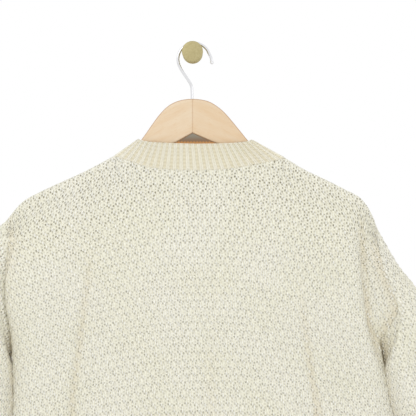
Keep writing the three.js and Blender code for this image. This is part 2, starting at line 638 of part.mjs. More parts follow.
// A button band lies along the edge of a front, from the neckband's top to the hem
const BAND_COLUMNS = 8;
function buttonBand(front, hand, rise) {
  const column = hand < 0 ? -1 : 0;
  const edge = front.column(column).map(({ point }) => point);
  const topPoint = NECK.front[hand < 0 ? 'left' : 'right'].top.at(-1);
  const hem = edge.at(-1);
  const centre = LEVELS.at(-1).centre;
  const line = [
    at(topPoint.x, topPoint.out, topPoint.z),
    ...edge.filter((point, k) => k === 0 || k >= RIDGE.length - 1),
    new THREE.Vector3(
      between(centre, hem.x, WELT_DRAW),
      between(MID_Y, hem.y, WELT_FLATTEN),
      hem.z - WELT_DEPTH,
    ),
  ];
  const rows = line.map((start) => {
    const row = [];
    for (let j = 0; j <= BAND_COLUMNS; j += 1) {
      const across = between(SEAM_GAP / 2, rise ? BAND_WIDTH : UNDER_BAND_WIDTH, j / BAND_COLUMNS);
      const up = rise * THREE.MathUtils.clamp(j, 0, 1);
      row.push(start.clone().add(new THREE.Vector3(-hand * across, up, 0)));
    }
    return hand < 0 ? row : row.toReversed();
  });
  const sheet = new Sheet(rows);
  sheet.normals.forEach((normals) => normals.at(hand < 0 ? 0 : -1).set(0, 1, 0));
  return sheet;
}

const weltBack = welt(back, true);
const weltLeft = welt(frontLeft, false);
const weltRight = welt(frontRight, false);
const cuffLeft = cuff(sleeveLeft, SLEEVE_LEFT);
const cuffRight = cuff(sleeveRight, SLEEVE_RIGHT);
const collar = neckband();
const bandLeft = buttonBand(frontLeft, -1, BAND_RISE);
const bandRight = buttonBand(frontRight, 1, 0);

[weltBack, weltLeft, weltRight].forEach((sheet) => {
  sheet.normals[0].forEach((normal, j) => sheet.normals[1][j].copy(normal));
});
const CLOTH = [
  ['back', back, CREAM],
  ['front_left', frontLeft, CREAM],
  ['front_right', frontRight, CREAM],
  ['sleeve_left', sleeveLeft, CREAM],
  ['sleeve_right', sleeveRight, CREAM],
  ['neckband', collar, RIB_CREAM, ribbed],
  ['welt_back', weltBack, RIB_CREAM, ribbed],
  ['welt_front_left', weltLeft, RIB_CREAM, ribbed],
  ['welt_front_right', weltRight, RIB_CREAM, ribbed],
  ['cuff_left', cuffLeft, RIB_CREAM, ribbed],
  ['cuff_right', cuffRight, RIB_CREAM, ribbed],
  ['button_band_left', bandLeft, RIB_CREAM, ribbed],
  ['button_band_right', bandRight, RIB_CREAM, ribbed],
];

// ---------------------------------------------------------------- buttons
// A turned disc with a raised rim, its back on the band's ribs
function button() {
  const profile = [
    [0, 0], [BUTTON_RADIUS - 1.6, 0], [BUTTON_RADIUS, 1.4], [BUTTON_RADIUS, 3],
    [BUTTON_RADIUS - 1.2, BUTTON_THICKNESS], [BUTTON_RADIUS - 3, BUTTON_THICKNESS - 0.4],
    [BUTTON_RADIUS - 4.2, BUTTON_THICKNESS - BUTTON_WELL], [0, BUTTON_THICKNESS - BUTTON_WELL],
  ];
  return new THREE.LatheGeometry(profile.map(([r, y]) => new THREE.Vector2(r, y)), 18);
}

// Places down the middle of the upper band, from the neckband to the hem
function buttonPlaces() {
  const seat = WALL / 2 + RIB_HEIGHT + BUTTON_SEAT;
  const line = bandLeft.rows.map((row) => row[BAND_COLUMNS / 2]);
  const places = [];
  for (let i = 0; i < BUTTON_COUNT; i += 1) {
    const z = between(line[0].z - TOP_BUTTON, line.at(-1).z + LOW_BUTTON, i / (BUTTON_COUNT - 1));
    const next = line.findIndex((point) => point.z <= z);
    const t = (z - line[next - 1].z) / (line[next].z - line[next - 1].z);
    const place = line[next - 1].clone().lerp(line[next], t);
    const lean = Math.atan2(line[next].y - line[next - 1].y, line[next - 1].z - line[next].z);
    place.y += seat + (Math.abs(lean) * BUTTON_RADIUS) / 2;
    places.push({ place, lean });
  }
  return places;
}

// ---------------------------------------------------------------- hanger, hook and knob
function solidOf(wasm, geometry) {
  const bare = geometry.clone();
  bare.deleteAttribute('normal');
  bare.deleteAttribute('uv');
  const merged = mergeVertices(bare, 1e-4);
  return new wasm.Manifold(new wasm.Mesh({
    numProp: 3,
    vertProperties: new Float32Array(merged.attributes.position.array),
    triVerts: new Uint32Array(merged.index.array),
  }));
}

function geometryOf(solid) {
  const { vertProperties, triVerts } = solid.getMesh();
  const geometry = new THREE.BufferGeometry();
  geometry.setAttribute('position', new THREE.BufferAttribute(new Float32Array(vertProperties), 3));
  geometry.setIndex([...triVerts]);
  geometry.computeVertexNormals();
  return geometry;
}

// The board's outline is drawn in x and z, then stood up across the hook's plane
function boardGeometry() {
  const top = new THREE.SplineCurve(BOARD_TOP.map(([x, z]) => new THREE.Vector2(x, z))).getPoints(44);
  const bottom = BOARD_BOTTOM.map(([x, z]) => new THREE.Vector2(x, z));
  const board = new THREE.ExtrudeGeometry(new THREE.Shape([...top, ...bottom]), {
    depth: BOARD - 2 * BOARD_ROUND,
    bevelThickness: BOARD_ROUND,
    bevelSize: BOARD_ROUND,
    bevelOffset: -BOARD_ROUND,
    bevelSegments: 3,
  });
  board.rotateX(Math.PI / 2);
  board.translate(0, MID_Y + BOARD / 2 - BOARD_ROUND, 0);
  return board;
}

const STEM_X = SWAN_NECK.at(-1)[0];
const BOARD_CROWN = Math.max(...BOARD_TOP.map(([, z]) => z));

function wireGeometry() {
  const path = HOOK_TIP.map(([x, z]) => at(x, 0, z));
  for (let degrees = 15; degrees <= 200; degrees += 23) {
    const angle = THREE.MathUtils.degToRad(degrees);
    const x = RING_CENTRE.x + RING_RADIUS * Math.cos(angle);
    path.push(at(x, 0, RING_CENTRE.z + RING_RADIUS * Math.sin(angle)));
  }
  path.push(...SWAN_NECK.map(([x, z]) => at(x, 0, z)));
  path.push(at(STEM_X, 0, BOARD_CROWN - BORE_DEPTH + 1));
  const section = new THREE.Shape();
  section.absarc(0, 0, WIRE_RADIUS, 0, Math.PI * 2);
  return new THREE.ExtrudeGeometry(section, {
    steps: 44,
    curveSegments: 4,
    extrudePath: new THREE.CatmullRomCurve3(path, false, 'centripetal'),
  });
}

function knobGeometry() {
  const profile = [
    [0, 0], [KNOB_FLANGE - 0.4, 0], [KNOB_FLANGE, -0.6], [KNOB_FLANGE, -3.2],
    [KNOB_FLANGE - 1.2, -4.4], [KNOB_NECK, -6],
    [KNOB_NECK, 8 - KNOB_REACH], [KNOB_RADIUS - KNOB_BEVEL, 6 - KNOB_REACH], [KNOB_RADIUS, 5 - KNOB_REACH],
    [KNOB_RADIUS, 1.2 - KNOB_REACH], [KNOB_RADIUS - KNOB_BEVEL, -KNOB_REACH], [0, -KNOB_REACH],
  ];
  return new THREE.LatheGeometry(profile.toReversed().map(([r, y]) => new THREE.Vector2(r, y)), 28);
}

// ---------------------------------------------------------------- assembly
const cardigan = new THREE.Group();

function add(name, geometry, finish) {
  const mesh = new THREE.Mesh(geometry, new THREE.MeshStandardMaterial(finish));
  mesh.name = name;
  cardigan.add(mesh);
  return mesh;
}

const CURVED = [sleeveLeft, sleeveRight, collar];
const places = buttonPlaces();
for (const [name, sheet, finish, lift] of CLOTH) {
  sheet.drawBack(SEAM_GAP * (CURVED.includes(sheet) ? CURVED_SHARE : STRAIGHT_SHARE));
  add(name, sheet.wall(WALL, lift), finish);
}

places.forEach(({ place, lean }, index) => {
  const disc = add(`button_${index + 1}`, button(), HORN);
  disc.position.copy(place);
  disc.rotation.x = lean;
});

const wasm = await Module();
wasm.setup();
const boreRadius = WIRE_RADIUS + BORE_CLEARANCE;
const bore = new THREE.CylinderGeometry(boreRadius, boreRadius, BORE_TOOL, 12);
bore.rotateX(Math.PI / 2);
bore.translate(STEM_X, MID_Y, BOARD_CROWN - BORE_DEPTH + BORE_TOOL / 2);
add('hanger_board', geometryOf(solidOf(wasm, boardGeometry()).subtract(solidOf(wasm, bore))), BEECH);
add('hanger_hook', wireGeometry(), CHROME);
add('wall_knob', knobGeometry(), BRASS);

export default cardigan;
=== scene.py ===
"""Dresses a packed cardigan, its hanger and its wall knob in knit, rib, wood and metal."""

import math

import bmesh
import bpy
import numpy as np
from bpy.props import FloatProperty, FloatVectorProperty, PointerProperty
from mathutils import Matrix, Vector


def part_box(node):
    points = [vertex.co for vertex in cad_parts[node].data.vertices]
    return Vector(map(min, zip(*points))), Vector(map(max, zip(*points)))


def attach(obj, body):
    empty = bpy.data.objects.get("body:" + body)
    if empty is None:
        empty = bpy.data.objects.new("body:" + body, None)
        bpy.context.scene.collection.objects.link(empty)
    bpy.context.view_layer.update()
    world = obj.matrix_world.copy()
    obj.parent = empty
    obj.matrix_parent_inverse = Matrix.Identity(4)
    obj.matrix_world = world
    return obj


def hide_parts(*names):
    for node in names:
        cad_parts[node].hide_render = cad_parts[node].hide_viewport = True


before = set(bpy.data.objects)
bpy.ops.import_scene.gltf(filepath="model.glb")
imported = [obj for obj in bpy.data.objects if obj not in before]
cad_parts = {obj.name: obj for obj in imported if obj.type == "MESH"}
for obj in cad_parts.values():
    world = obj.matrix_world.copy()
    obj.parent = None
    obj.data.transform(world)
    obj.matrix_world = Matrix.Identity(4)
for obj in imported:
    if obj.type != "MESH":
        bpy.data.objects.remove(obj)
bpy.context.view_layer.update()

bl_info = {
    "name": "Hanging Cardigan",
    "version": (1, 0, 0),
    "blender": (4, 5, 0),
    "location": "View3D > Sidebar > Cardigan",
    "description": "Knits a chunky cardigan and hangs it from a wall knob",
    "category": "Add Mesh",
}

MM = 0.001

# ------------------------------------------------------------------ the garment's sizes, in mm
MID_Y = -38.0
WALL = 3.0
NECK_START = 0.62
NECK_LEAN = 0.06
DIP_REACH = 120.0
HALF_BAND = 17.0
FRONT_FLATNESS = 0.8
WELT_DEPTH = 70.0
WELT_DRAW = 0.95
WELT_FLATTEN = 0.85
CUFF_STEEPNESS = 68.0
UNDERARM = 4
# how far in from the side seam the front's edge and crest lie below the armhole
FRONT_EDGE_IN = 3
FRONT_CREST_IN = 22
# the front's middle stands out as far as the back's, up to the first of these, less the second
FRONT_MIDDLE = 20
FRONT_MIDDLE_IN = 2
# mesh rows over the ridge and from there to the first level, and rows to a course below
RIDGE_ROWS = 12
SHOULDER_ROWS = 22
ROWS_PER_COURSE = 2
HALF_COLUMNS = 190
SLEEVE_COLUMNS = 257
SLEEVE_ROWS = 281
# mesh columns to a rib, and ribs in each quarter of the neckband and in each button band
PER_RIB = 8
NECK_RIBS = 13
BAND_RIBS = 4
# mesh rows beside a seam where the stitches flatten, and mm of rib and sleeve tucked past it
SEAM_TAPER = 3
SEAM_TUCK = 1.4
# along the cloth, out of the hanger's plane, below the ridge
RIDGE = [(0, 0, 0), (5, 5, 0.4), (9, 8, 2.7), (13, 9.5, 6.6), (20.5, 10.6, 14)]
# z, dip, centre, sag, middle, fold, fold_at
LEVELS = [
    (-206, 36, 7, 0.0009, 13, 13.5, 128),
    (-246, 12, 8, 0.0009, 17, 17, 136),
    (-290, 0, 9, 0.0009, 20, 19, 142),
    (-326, 0, 10, 0.00085, 22, 20, 146),
    (-360, 0, 12, 0.0008, 23, 20, 150),
    (-420, 0, 17, 0.0007, 24, 20, 154),
    (-500, 0, 21, 0.0006, 25, 19, 158),
    (-606, 0, 25, 0.0005, 25, 20, 160),
    (-712, 0, 27, 0.0004, 24, 21, 160),
]
# crest, crest_out, edge, edge_out, seam, seam_z, seam_out
ROLL = {
    "right": [
        (204, 17, 232, 11, 254, -272, 13),
        (210, 23, 236, 11, 262, -302, 16),
        (214, 27, 240, 12, 279, -346, 19),
        (220, 29, 245, 13, 264, -379, 12),
        (228, 29, 255, 12, 249, -405, 0),
        (243, 28, 269, 11, 264, -472, 0),
        (258, 28, 285, 11, 277, -546, 0),
        (262, 28, 290, 11, 282, -644, 0),
        (258, 25, 286, 10, 278, -742, 0),
    ],
    "left": [
        (-216, 17, -239, 14, -250, -256, 12),
        (-228, 23, -250, 15, -252, -292, 7),
        (-230, 27, -251, 15, -250, -335, 5.5),
        (-222, 28, -245, 14, -246, -371, 5),
        (-217, 28, -243, 12, -240, -402, 0),
        (-217, 28, -243, 11, -239, -462, 0),
        (-220, 28, -249, 11, -244, -538, 0),
        (-224, 28, -252, 11, -247, -636, 0),
        (-222, 25, -250, 10, -245, -736, 0),
    ],
}
SHOULDER = {
    "right": [
        (251, -243), (239, -215), (227, -199.5), (206, -188), (173, -171.5), (152, -161.5), (124, -144.5),
    ],
    "left": [
        (-251, -229.5), (-240, -215.5), (-228, -203.5), (-207, -192), (-175, -177), (-142, -162),
        (-105, -142),
    ],
}
# x, z and distance out, from the shoulder to the centre line
NECK_SEAM = {
    ("back", "left"): [
        (-105, -142, 0), (-102, -142.8, 6.5), (-96, -144.5, 9.8), (-84, -148, 10.6),
        (-66, -154.5, 10.8), (-38, -158.8, 11), (8, -160.5, 11),
    ],
    ("back", "right"): [
        (124, -144.5, 0), (121, -145.6, 6.5), (114, -147.2, 9.8), (99, -149.8, 10.6),
        (74, -154.5, 10.8), (45, -158.8, 11), (8, -160.5, 11),
    ],
    ("front", "left"): [
        (-105, -142, 0), (-102.5, -143.2, 6.3), (-97.5, -146.6, 9.4), (-92, -156, 10.5),
        (-84, -171, 10.7), (-68, -188, 11), (-42, -200, 12), (-11, -204, 13),
    ],
    ("front", "right"): [
        (124, -144.5, 0), (121.5, -145.8, 6.3), (116.5, -149.2, 9.4), (110, -159, 10.5),
        (101, -174, 10.7), (83, -191, 11), (56, -201, 12), (23, -204, 13),
    ],
}
NECK_TOP = {
    ("back", "left"): [
        (-72, -120, 0), (-70, -120.6, 6.5), (-66, -121.2, 9.5), (-52, -122.8, 10),
        (-32, -124, 10), (4, -125, 10),
    ],
    ("back", "right"): [
        (79, -121, 0), (77, -121.6, 6.5), (72, -122.3, 9.5), (60, -123.4, 10),
        (38, -124.5, 10), (4, -125, 10),
    ],
    ("front", "left"): [
        (-72, -120, 0), (-70.5, -121, 6.3), (-67.5, -123, 9.4), (-63, -131, 10.3),
        (-56, -144, 10.6), (-41, -158.5, 11), (-25, -166.5, 12), (-11, -170, 13),
    ],
    ("front", "right"): [
        (79, -121, 0), (77.5, -122, 6.3), (74.5, -124, 9.4), (70, -132, 10.3),
        (63, -145, 10.6), (50, -159, 11), (36, -166.5, 12), (23, -170, 13),
    ],
}
# out_x, out_z, in_x, in_z, back, front, crease, tuck
SLEEVE = {
    "right": [
        (279, -291, 259, -422, 28, 24, 1, 1),
        (304, -323, 259.5, -438, 34, 28, 4, 3),
        (334, -376, 261, -464, 39, 29, 8, 5),
        (361, -440, 269, -500, 41, 28, 9, 5),
        (384, -520, 281, -556, 36, 26, 6, 6),
        (398, -600, 290, -622, 31, 25, 3, 6),
        (402, -668, 299, -678, 28, 25, 0, 3),
    ],
    "left": [
        (-277, -253, -248, -418, 17, 20, 1, 1),
        (-300, -282, -243, -436, 30, 27, 4, 3),
        (-326, -330, -241.5, -464, 40, 29, 9, 5),
        (-345, -400, -241.5, -506, 41, 28, 10, 5),
        (-355, -488, -246, -565, 36, 26, 6, 6),
        (-359, -580, -252, -628, 31, 25, 3, 8),
        (-358, -662, -262, -682, 28, 25, 0, 4),
    ],
}
# distance below the sleeve, and width as a share of the sleeve's end
CUFF_ROWS = [(16, 0.86), (70, 0.84)]
BOARD_THICK = 14.0
BOARD_TOP = [
    (-222, -211), (-213, -200.6), (-190, -188.8), (-152, -170.8), (-124, -156.6), (-104, -147.5),
    (-84, -134), (-72, -122.6), (-64, -112), (-55, -99), (-44, -84.4), (-33, -73.6), (-22, -67.6),
    (-11, -64.8), (0, -64), (11, -64.8), (22, -67.4), (33, -73.6), (43.5, -82.4), (54, -94.4),
    (65, -107.8), (76, -121), (88, -131), (104, -140), (124, -149.2), (152, -165.2),
    (190, -183.6), (213, -195.2), (222, -205),
]
BOARD_BOTTOM = [
    (222.5, -213), (216, -219), (152, -189), (100, -163.5), (60, -141), (34, -125.4), (0, -110.5),
    (-23, -123.6), (-60, -145), (-100, -168), (-152, -194), (-216, -225), (-222.5, -219),
]
HAND = {"left": -1, "right": 1}
WAY = {"back": -1, "front": 1}
FLATNESS = {"back": 1.0, "front": FRONT_FLATNESS}


def at(x, out, z):
    return np.array([x, MID_Y + out, z], float)


def mix(a, b, t):
    return a + (b - a) * t


def smoothstep(x, low, high):
    t = np.clip((x - low) / (high - low), 0, 1)
    return t * t * (3 - 2 * t)


# ------------------------------------------------------------------ smooth curves and sheets
def spline(keys, places):
    """Points of a smooth curve through keys, at places counted in keys from 0."""
    keys = np.asarray(keys, float)
    padded = np.concatenate([[2 * keys[0] - keys[1]], keys, [2 * keys[-1] - keys[-2]]])
    spans = np.linalg.norm(np.diff(padded, axis=0), axis=-1, keepdims=True) ** 0.5
    spans = np.maximum(spans, 1e-3)
    points = []
    for place in places:
        i = min(int(place), len(keys) - 2)
        t = place - i
        p0, p1, p2, p3 = padded[i : i + 4]
        d0, d1, d2 = spans[i : i + 3]
        m1 = ((p1 - p0) / d0 - (p2 - p0) / (d0 + d1) + (p2 - p1) / d1) * d1
        m2 = ((p2 - p1) / d1 - (p3 - p1) / (d1 + d2) + (p3 - p2) / d2) * d1
        bend = (3 * (p2 - p1) - 2 * m1 - m2) * t**2
        points.append(p1 + m1 * t + bend + (2 * (p1 - p2) + m1 + m2) * t**3)
    return np.array(points).reshape(len(places), *keys.shape[1:])


def lengths(points):
    """Distance along a line of points, from its start."""
    steps = np.linalg.norm(np.diff(points, axis=0), axis=-1)
    return np.concatenate([np.zeros((1,) + steps.shape[1:]), np.cumsum(steps, axis=0)])


def along(keys, shares, end=None):
    """Points on a curve at shares of its length up to its end, or up to one of its keys."""
    end = len(keys) - 1 if end is None else end
    fine = np.linspace(0, end, 40 * end + 1)
    measured = lengths(spline(keys, fine))
    return spline(keys, np.interp(np.asarray(shares) * measured[-1], measured, fine))


def level_keys(side, face, index):
    """One row of the body, from the side seam to the centre."""
    z, dip, centre, sag, middle, fold, fold_at = LEVELS[index]
    crest, crest_out, edge, edge_out, seam, seam_z, seam_out = ROLL[side][index]
    hand, way, flat = HAND[side], WAY[face], FLATNESS[face]
    front = face == "front"

    def height(x):
        lower = dip * (1 - smoothstep(abs(x - centre), 0, DIP_REACH)) if front else 0
        return z - sag * (x - centre) ** 2 - lower

    if front and index >= UNDERARM:
        edge, crest = seam - hand * FRONT_EDGE_IN, seam - hand * FRONT_CREST_IN
    end = centre + hand * HALF_BAND if front else centre
    half = centre + hand * fold_at / 2
    fold_x = centre + hand * fold_at
    middle = min(middle, FRONT_MIDDLE) - FRONT_MIDDLE_IN if front else middle
    return [
        at(seam, way * seam_out, seam_z),
        at(edge, way * edge_out * flat, (height(edge) + seam_z) / 2),
        at(crest, way * crest_out * flat, height(crest)),
        at(fold_x, way * fold * flat, height(fold_x)),
        at(half, way * (middle + 1) * flat, height(half)),
        at(end, way * middle * flat, height(end)),
    ]


def top_row(side, face, shares):
    """The shoulder seam and then the neck seam, at shares of the half row."""
    shoulder = [at(x, 0, z) for x, z in SHOULDER[side]]
    neck = [at(x, WAY[face] * out, z) for x, z, out in NECK_SEAM[face, side]]
    on_shoulder = along(shoulder, shares[shares <= NECK_START] / NECK_START)
    on_neck = along(neck, (shares[shares > NECK_START] - NECK_START) / (1 - NECK_START))
    return np.concatenate([on_shoulder, on_neck])


def half_rows(side, face, shares):
    """Key rows of half a panel: over the ridge, then level by level."""
    first = top_row(side, face, shares)
    neck_part = np.minimum(1, np.abs(first[:, 1] - MID_Y) / RIDGE[-1][1])
    rows = []
    for distance, out, drop in RIDGE:
        row = first.copy()
        row[:, 1] += WAY[face] * mix(out, distance * NECK_LEAN, neck_part)
        row[:, 2] -= mix(drop, distance, neck_part)
        rows.append(row)
    for index in range(len(LEVELS)):
        keys = level_keys(side, face, index)
        if face == "back":
            keys += level_keys("left" if side == "right" else "right", face, index)[-2::-1]
            rows.append(along(keys, shares, 5))
        else:
            rows.append(along(keys, shares))
    return np.array(rows)


def course_places(pitch):
    """Where the mesh rows lie, counted in key rows, how many are above the levels, and the courses below."""
    first = len(RIDGE)
    depth = np.array([LEVELS[0][0] - level[0] for level in LEVELS]) / pitch
    courses = np.linspace(0, depth[-1], round(depth[-1]) * ROWS_PER_COURSE + 1)
    low = np.interp(courses, depth, np.arange(len(LEVELS)) + first)
    on_ridge = np.linspace(0, first - 1, RIDGE_ROWS, endpoint=False)
    above = np.linspace(first - 1, first, SHOULDER_ROWS, endpoint=False)
    return np.concatenate([on_ridge, above, low]), len(on_ridge) + len(above), courses


def knit_courses(points, top_count, courses, pitch):
    """Course number of every point: level rows below, even lengths above the first level."""
    table = np.zeros(points.shape[:2])
    table[top_count:] = courses[:, None]
    upward = lengths(points[top_count::-1]) / pitch
    table[: top_count + 1] = -upward[::-1]
    return table


def normals_of(points, closed, sign):
    """Unit normals of a grid of points, on the side that sign gives."""
    if closed:
        wrapped = np.concatenate([points[:, -2:-1], points, points[:, 1:2]], axis=1)
        across = wrapped[:, 2:] - wrapped[:, :-2]
    else:
        across = np.gradient(points, axis=1)
    down = np.gradient(points, axis=0)
    normal = np.cross(across, down) * sign
    size = np.maximum(np.linalg.norm(normal, axis=-1, keepdims=True), 1e-9)
    return normal / size


# Double moss stitch repeats every two wales, and one wale aside every two courses. Each spot is a
# wale, a course, a radius in mm and a height: loops of yarn stand up, holes between them sink in.
SPOTS = (
    (-1.0, 0.48, 1.2, -1.0),
    (-0.4, 0.1, 1.2, -0.95),
    (0.0, 0.67, 1.15, -0.9),
    (-0.98, -0.42, 1.1, -0.8),
    (-0.3, -0.74, 1.1, -0.8),
    (0.4, 0.05, 1.05, -0.6),
    (-0.9, 1.06, 1.7, -0.25),
    (0.0, 0.0, 1.35, 1.0),
    (0.48, 0.62, 1.35, 1.0),
)


SPOT_SPREAD = 3.4


def double_moss(wale, course, stitch, pitch):
    """Smooth relief of double moss stitch, between the holes at -1 and the loops at 1."""
    relief = np.zeros(wale.shape)
    for across, down, _, height in SPOTS:
        q = (course - down) / 2
        p = (wale - across) / 2 - q / 2
        p, q = p - np.round(p), q - np.round(q)
        aside, below = (2 * p + q) * stitch, 2 * q * pitch
        relief += height * np.exp(-(aside**2 + below**2) / SPOT_SPREAD)
    return relief


def rib_relief(column):
    """Relief of 1x1 rib, 1 on the knit column and 0 in the furrow."""
    wave = 0.5 - 0.5 * np.cos(2 * math.pi * column)
    return wave**0.7


def pick(values, chosen):
    """A grid's values at the chosen rows and columns, or all of them."""
    return values if chosen is None else values[np.ix_(*chosen)]


def grid_mesh(place, marks):
    """A grid moved onto place, with its marks as point attributes and stitches as its UV map."""
    rows, columns = place.shape[:2]
    part = bmesh.new()
    bmesh.ops.create_grid(part, x_segments=columns - 1, y_segments=rows - 1, size=1)
    mesh = bpy.data.meshes.new("part")
    part.to_mesh(mesh)
    part.free()
    flat = np.zeros(len(mesh.vertices) * 3, np.float32)
    mesh.vertices.foreach_get("co", flat)
    flat = flat.reshape(-1, 3)
    j = np.rint((flat[:, 0] + 1) / 2 * (columns - 1)).astype(int)
    k = np.rint((flat[:, 1] + 1) / 2 * (rows - 1)).astype(int)
    mesh.vertices.foreach_set("co", place[k, j].astype(np.float32).ravel())
    corner = np.zeros(len(mesh.loops), np.int32)
    mesh.loops.foreach_get("vertex_index", corner)
    stitches = np.stack([marks["wale"][k, j], marks["course"][k, j]], axis=1).astype(np.float32)
    uv = mesh.uv_layers.new(name="stitches")
    uv.data.foreach_set("uv", stitches[corner].ravel())
    marks = dict(marks, rim=(np.arange(rows) == rows - 1)[:, None] * np.ones(columns))
    for label, values in marks.items():
        attribute = mesh.attributes.new(label, "FLOAT", "POINT")
        attribute.data.foreach_set("value", values[k, j].astype(np.float32))
    return mesh


def build_sheet(name, points, marks, relief, sign, closed=False, every=(8, 8)):
    """A knitted wall: a fine outer face over a plain inner one, joined round its rims."""
    rows, columns = points.shape[:2]
    if closed:
        relief[:, -1] = relief[:, 0]
    normal = normals_of(points, closed, sign)
    outer = (points + normal * (WALL / 2 + relief)[..., None]) * MM
    inner = (points - normal * WALL / 2) * MM
    coarse = [
        np.unique(np.append(np.arange(0, count, step), count - 1))
        for count, step in zip((rows, columns), every)
    ]
    bm = bmesh.new()
    for place, chosen in ((outer, None), (inner, coarse)):
        mesh = grid_mesh(pick(place, chosen), {key: pick(mark, chosen) for key, mark in marks.items()})
        bm.from_mesh(mesh)
        bpy.data.meshes.remove(mesh)
        if closed:
            bmesh.ops.remove_doubles(bm, verts=bm.verts[:], dist=0.00002)
    end = bm.verts.layers.float["rim"]
    rims = [edge for edge in bm.edges if len(edge.link_faces) == 1]
    loops = [[edge for edge in rims if edge.verts[0][end] == side] for side in (0, 1)] if closed else [rims]
    for loop in loops:
        bmesh.ops.bridge_loops(bm, edges=loop)
    bmesh.ops.recalc_face_normals(bm, faces=bm.faces[:])
    wale, course = (bm.verts.layers.float[key] for key in ("wale", "course"))
    uv = bm.loops.layers.uv["stitches"]
    for face in bm.faces:
        if all(loop[uv].uv.length < 1e-9 for loop in face.loops):
            for loop in face.loops:
                loop[uv].uv = (loop.vert[wale], loop.vert[course])
    return finish_mesh(name, bm)


def finish_mesh(name, bm, smooth=True):
    mesh = bpy.data.meshes.new(name)
    for face in bm.faces:
        face.smooth = smooth
    bm.to_mesh(mesh)
    bm.free()
    piece = bpy.data.objects.new(name, mesh)
    bpy.context.scene.collection.objects.link(piece)
    return piece


# ------------------------------------------------------------------ shader tools
class Value:
    """A socket that takes part in sums."""

    def __init__(self, finish, socket):
        self.finish = finish
        self.socket = socket

    def join(self, operation, *others):
        node = self.finish.tree.nodes.new("ShaderNodeMath")
        node.operation = operation
        for index, item in enumerate((self, *others)):
            self.finish.feed(node.inputs[index], item)
        return Value(self.finish, node.outputs[0])

    def __add__(self, other):
        return self.join("ADD", other)

    def __sub__(self, other):
        return self.join("SUBTRACT", other)

    def __rsub__(self, other):
        return (self * -1) + other

    def __mul__(self, other):
        return self.join("MULTIPLY", other)

    def __truediv__(self, other):
        return self.join("DIVIDE", other)

    def __abs__(self):
        return self.join("ABSOLUTE")

    def floor(self):
        return self.join("FLOOR")

    def fract(self):
        return self.join("FRACT")

    def sin(self):
        return self.join("SINE")

    def below(self, other):
        return self.join("MINIMUM", other)

    def ease(self, low, high):
        """0 below low, 1 above high and smooth between."""
        node = self.finish.tree.nodes.new("ShaderNodeMapRange")
        node.interpolation_type = "SMOOTHSTEP"
        self.finish.feed(node.inputs["Value"], self)
        node.inputs["From Min"].default_value = low
        node.inputs["From Max"].default_value = high
        return Value(self.finish, node.outputs["Result"])


class Finish:
    """A material under construction."""

    def __init__(self, name):
        self.material = bpy.data.materials.new(name)
        self.material.use_nodes = True
        self.tree = self.material.node_tree
        self.shader = self.tree.nodes["Principled BSDF"]

    def feed(self, socket, item):
        if isinstance(item, Value):
            self.tree.links.new(item.socket, socket)
        else:
            socket.default_value = item

    def node(self, kind, settings=(), output=0, **sockets):
        node = self.tree.nodes.new("ShaderNode" + kind)
        for key, value in dict(settings).items():
            setattr(node, key, value)
        for key, item in sockets.items():
            label = key.replace("_", " ")
            socket = node.inputs[label] if label in node.inputs else node.inputs[int(key[1:])]
            self.feed(socket, item)
        return Value(self, node.outputs[output])

    def split(self, vector):
        node = self.tree.nodes.new("ShaderNodeSeparateXYZ")
        self.feed(node.inputs[0], vector)
        return [Value(self, output) for output in node.outputs]

    def blend(self, factor, first, second):
        node = self.tree.nodes.new("ShaderNodeMix")
        node.data_type = "RGBA"
        self.feed(node.inputs["Factor"], factor)
        self.feed(node.inputs["A"], colour4(first))
        self.feed(node.inputs["B"], colour4(second))
        return Value(self, node.outputs["Result"])

    def object_place(self):
        return self.node("TexCoord", output="Object")

    def noise(self, vector, scale, detail=2.0, roughness=0.5):
        return self.node("TexNoise", Vector=vector, Scale=scale, Detail=detail, Roughness=roughness)

    def shift(self, vector, amount):
        """The same place moved aside, so that a second noise differs from the first."""
        moved = self.tree.nodes.new("ShaderNodeVectorMath")
        moved.operation = "ADD"
        self.feed(moved.inputs[0], vector)
        moved.inputs[1].default_value = (amount, amount, amount)
        return Value(self, moved.outputs[0])

    def bump(self, height, distance):
        return self.node("Bump", Height=height, Distance=distance, Strength=1.0)

    def set(self, **sockets):
        for key, item in sockets.items():
            self.feed(self.shader.inputs[key.replace("_", " ")], item)
        return self.material


def colour4(colour):
    return colour if isinstance(colour, Value) else (*tuple(colour)[:3], 1.0)


def linear(red, green, blue):
    """A colour given in 0 to 255 as shown on screen, as a linear one."""
    return tuple(((c / 255 + 0.055) / 1.055) ** 2.4 if c > 10 else c / 3294.6 for c in (red, green, blue))


def set_wool(finish, place, shade, relief, distance):
    """Sets a wool's colour, its dull sheen, and its relief with the yarn's fine hairiness."""
    fine = finish.noise(place, 1500.0, 3.0, 0.7)
    coarse = finish.noise(place, 420.0, 2.0, 0.6)
    return finish.set(
        Base_Color=shade,
        Roughness=0.92,
        Sheen_Weight=0.35,
        Sheen_Roughness=0.6,
        Specular_IOR_Level=0.15,
        Normal=finish.bump(relief + fine * 0.22 + coarse * 0.25, distance),
    )


# mm across and down one repeat of the stitch as it is drawn, and how far its spots are drawn out
SPOT_ACROSS = 6.8
SPOT_DOWN = 10.2
LOOP_TALL = 0.62
HOLE_TALL = 0.8


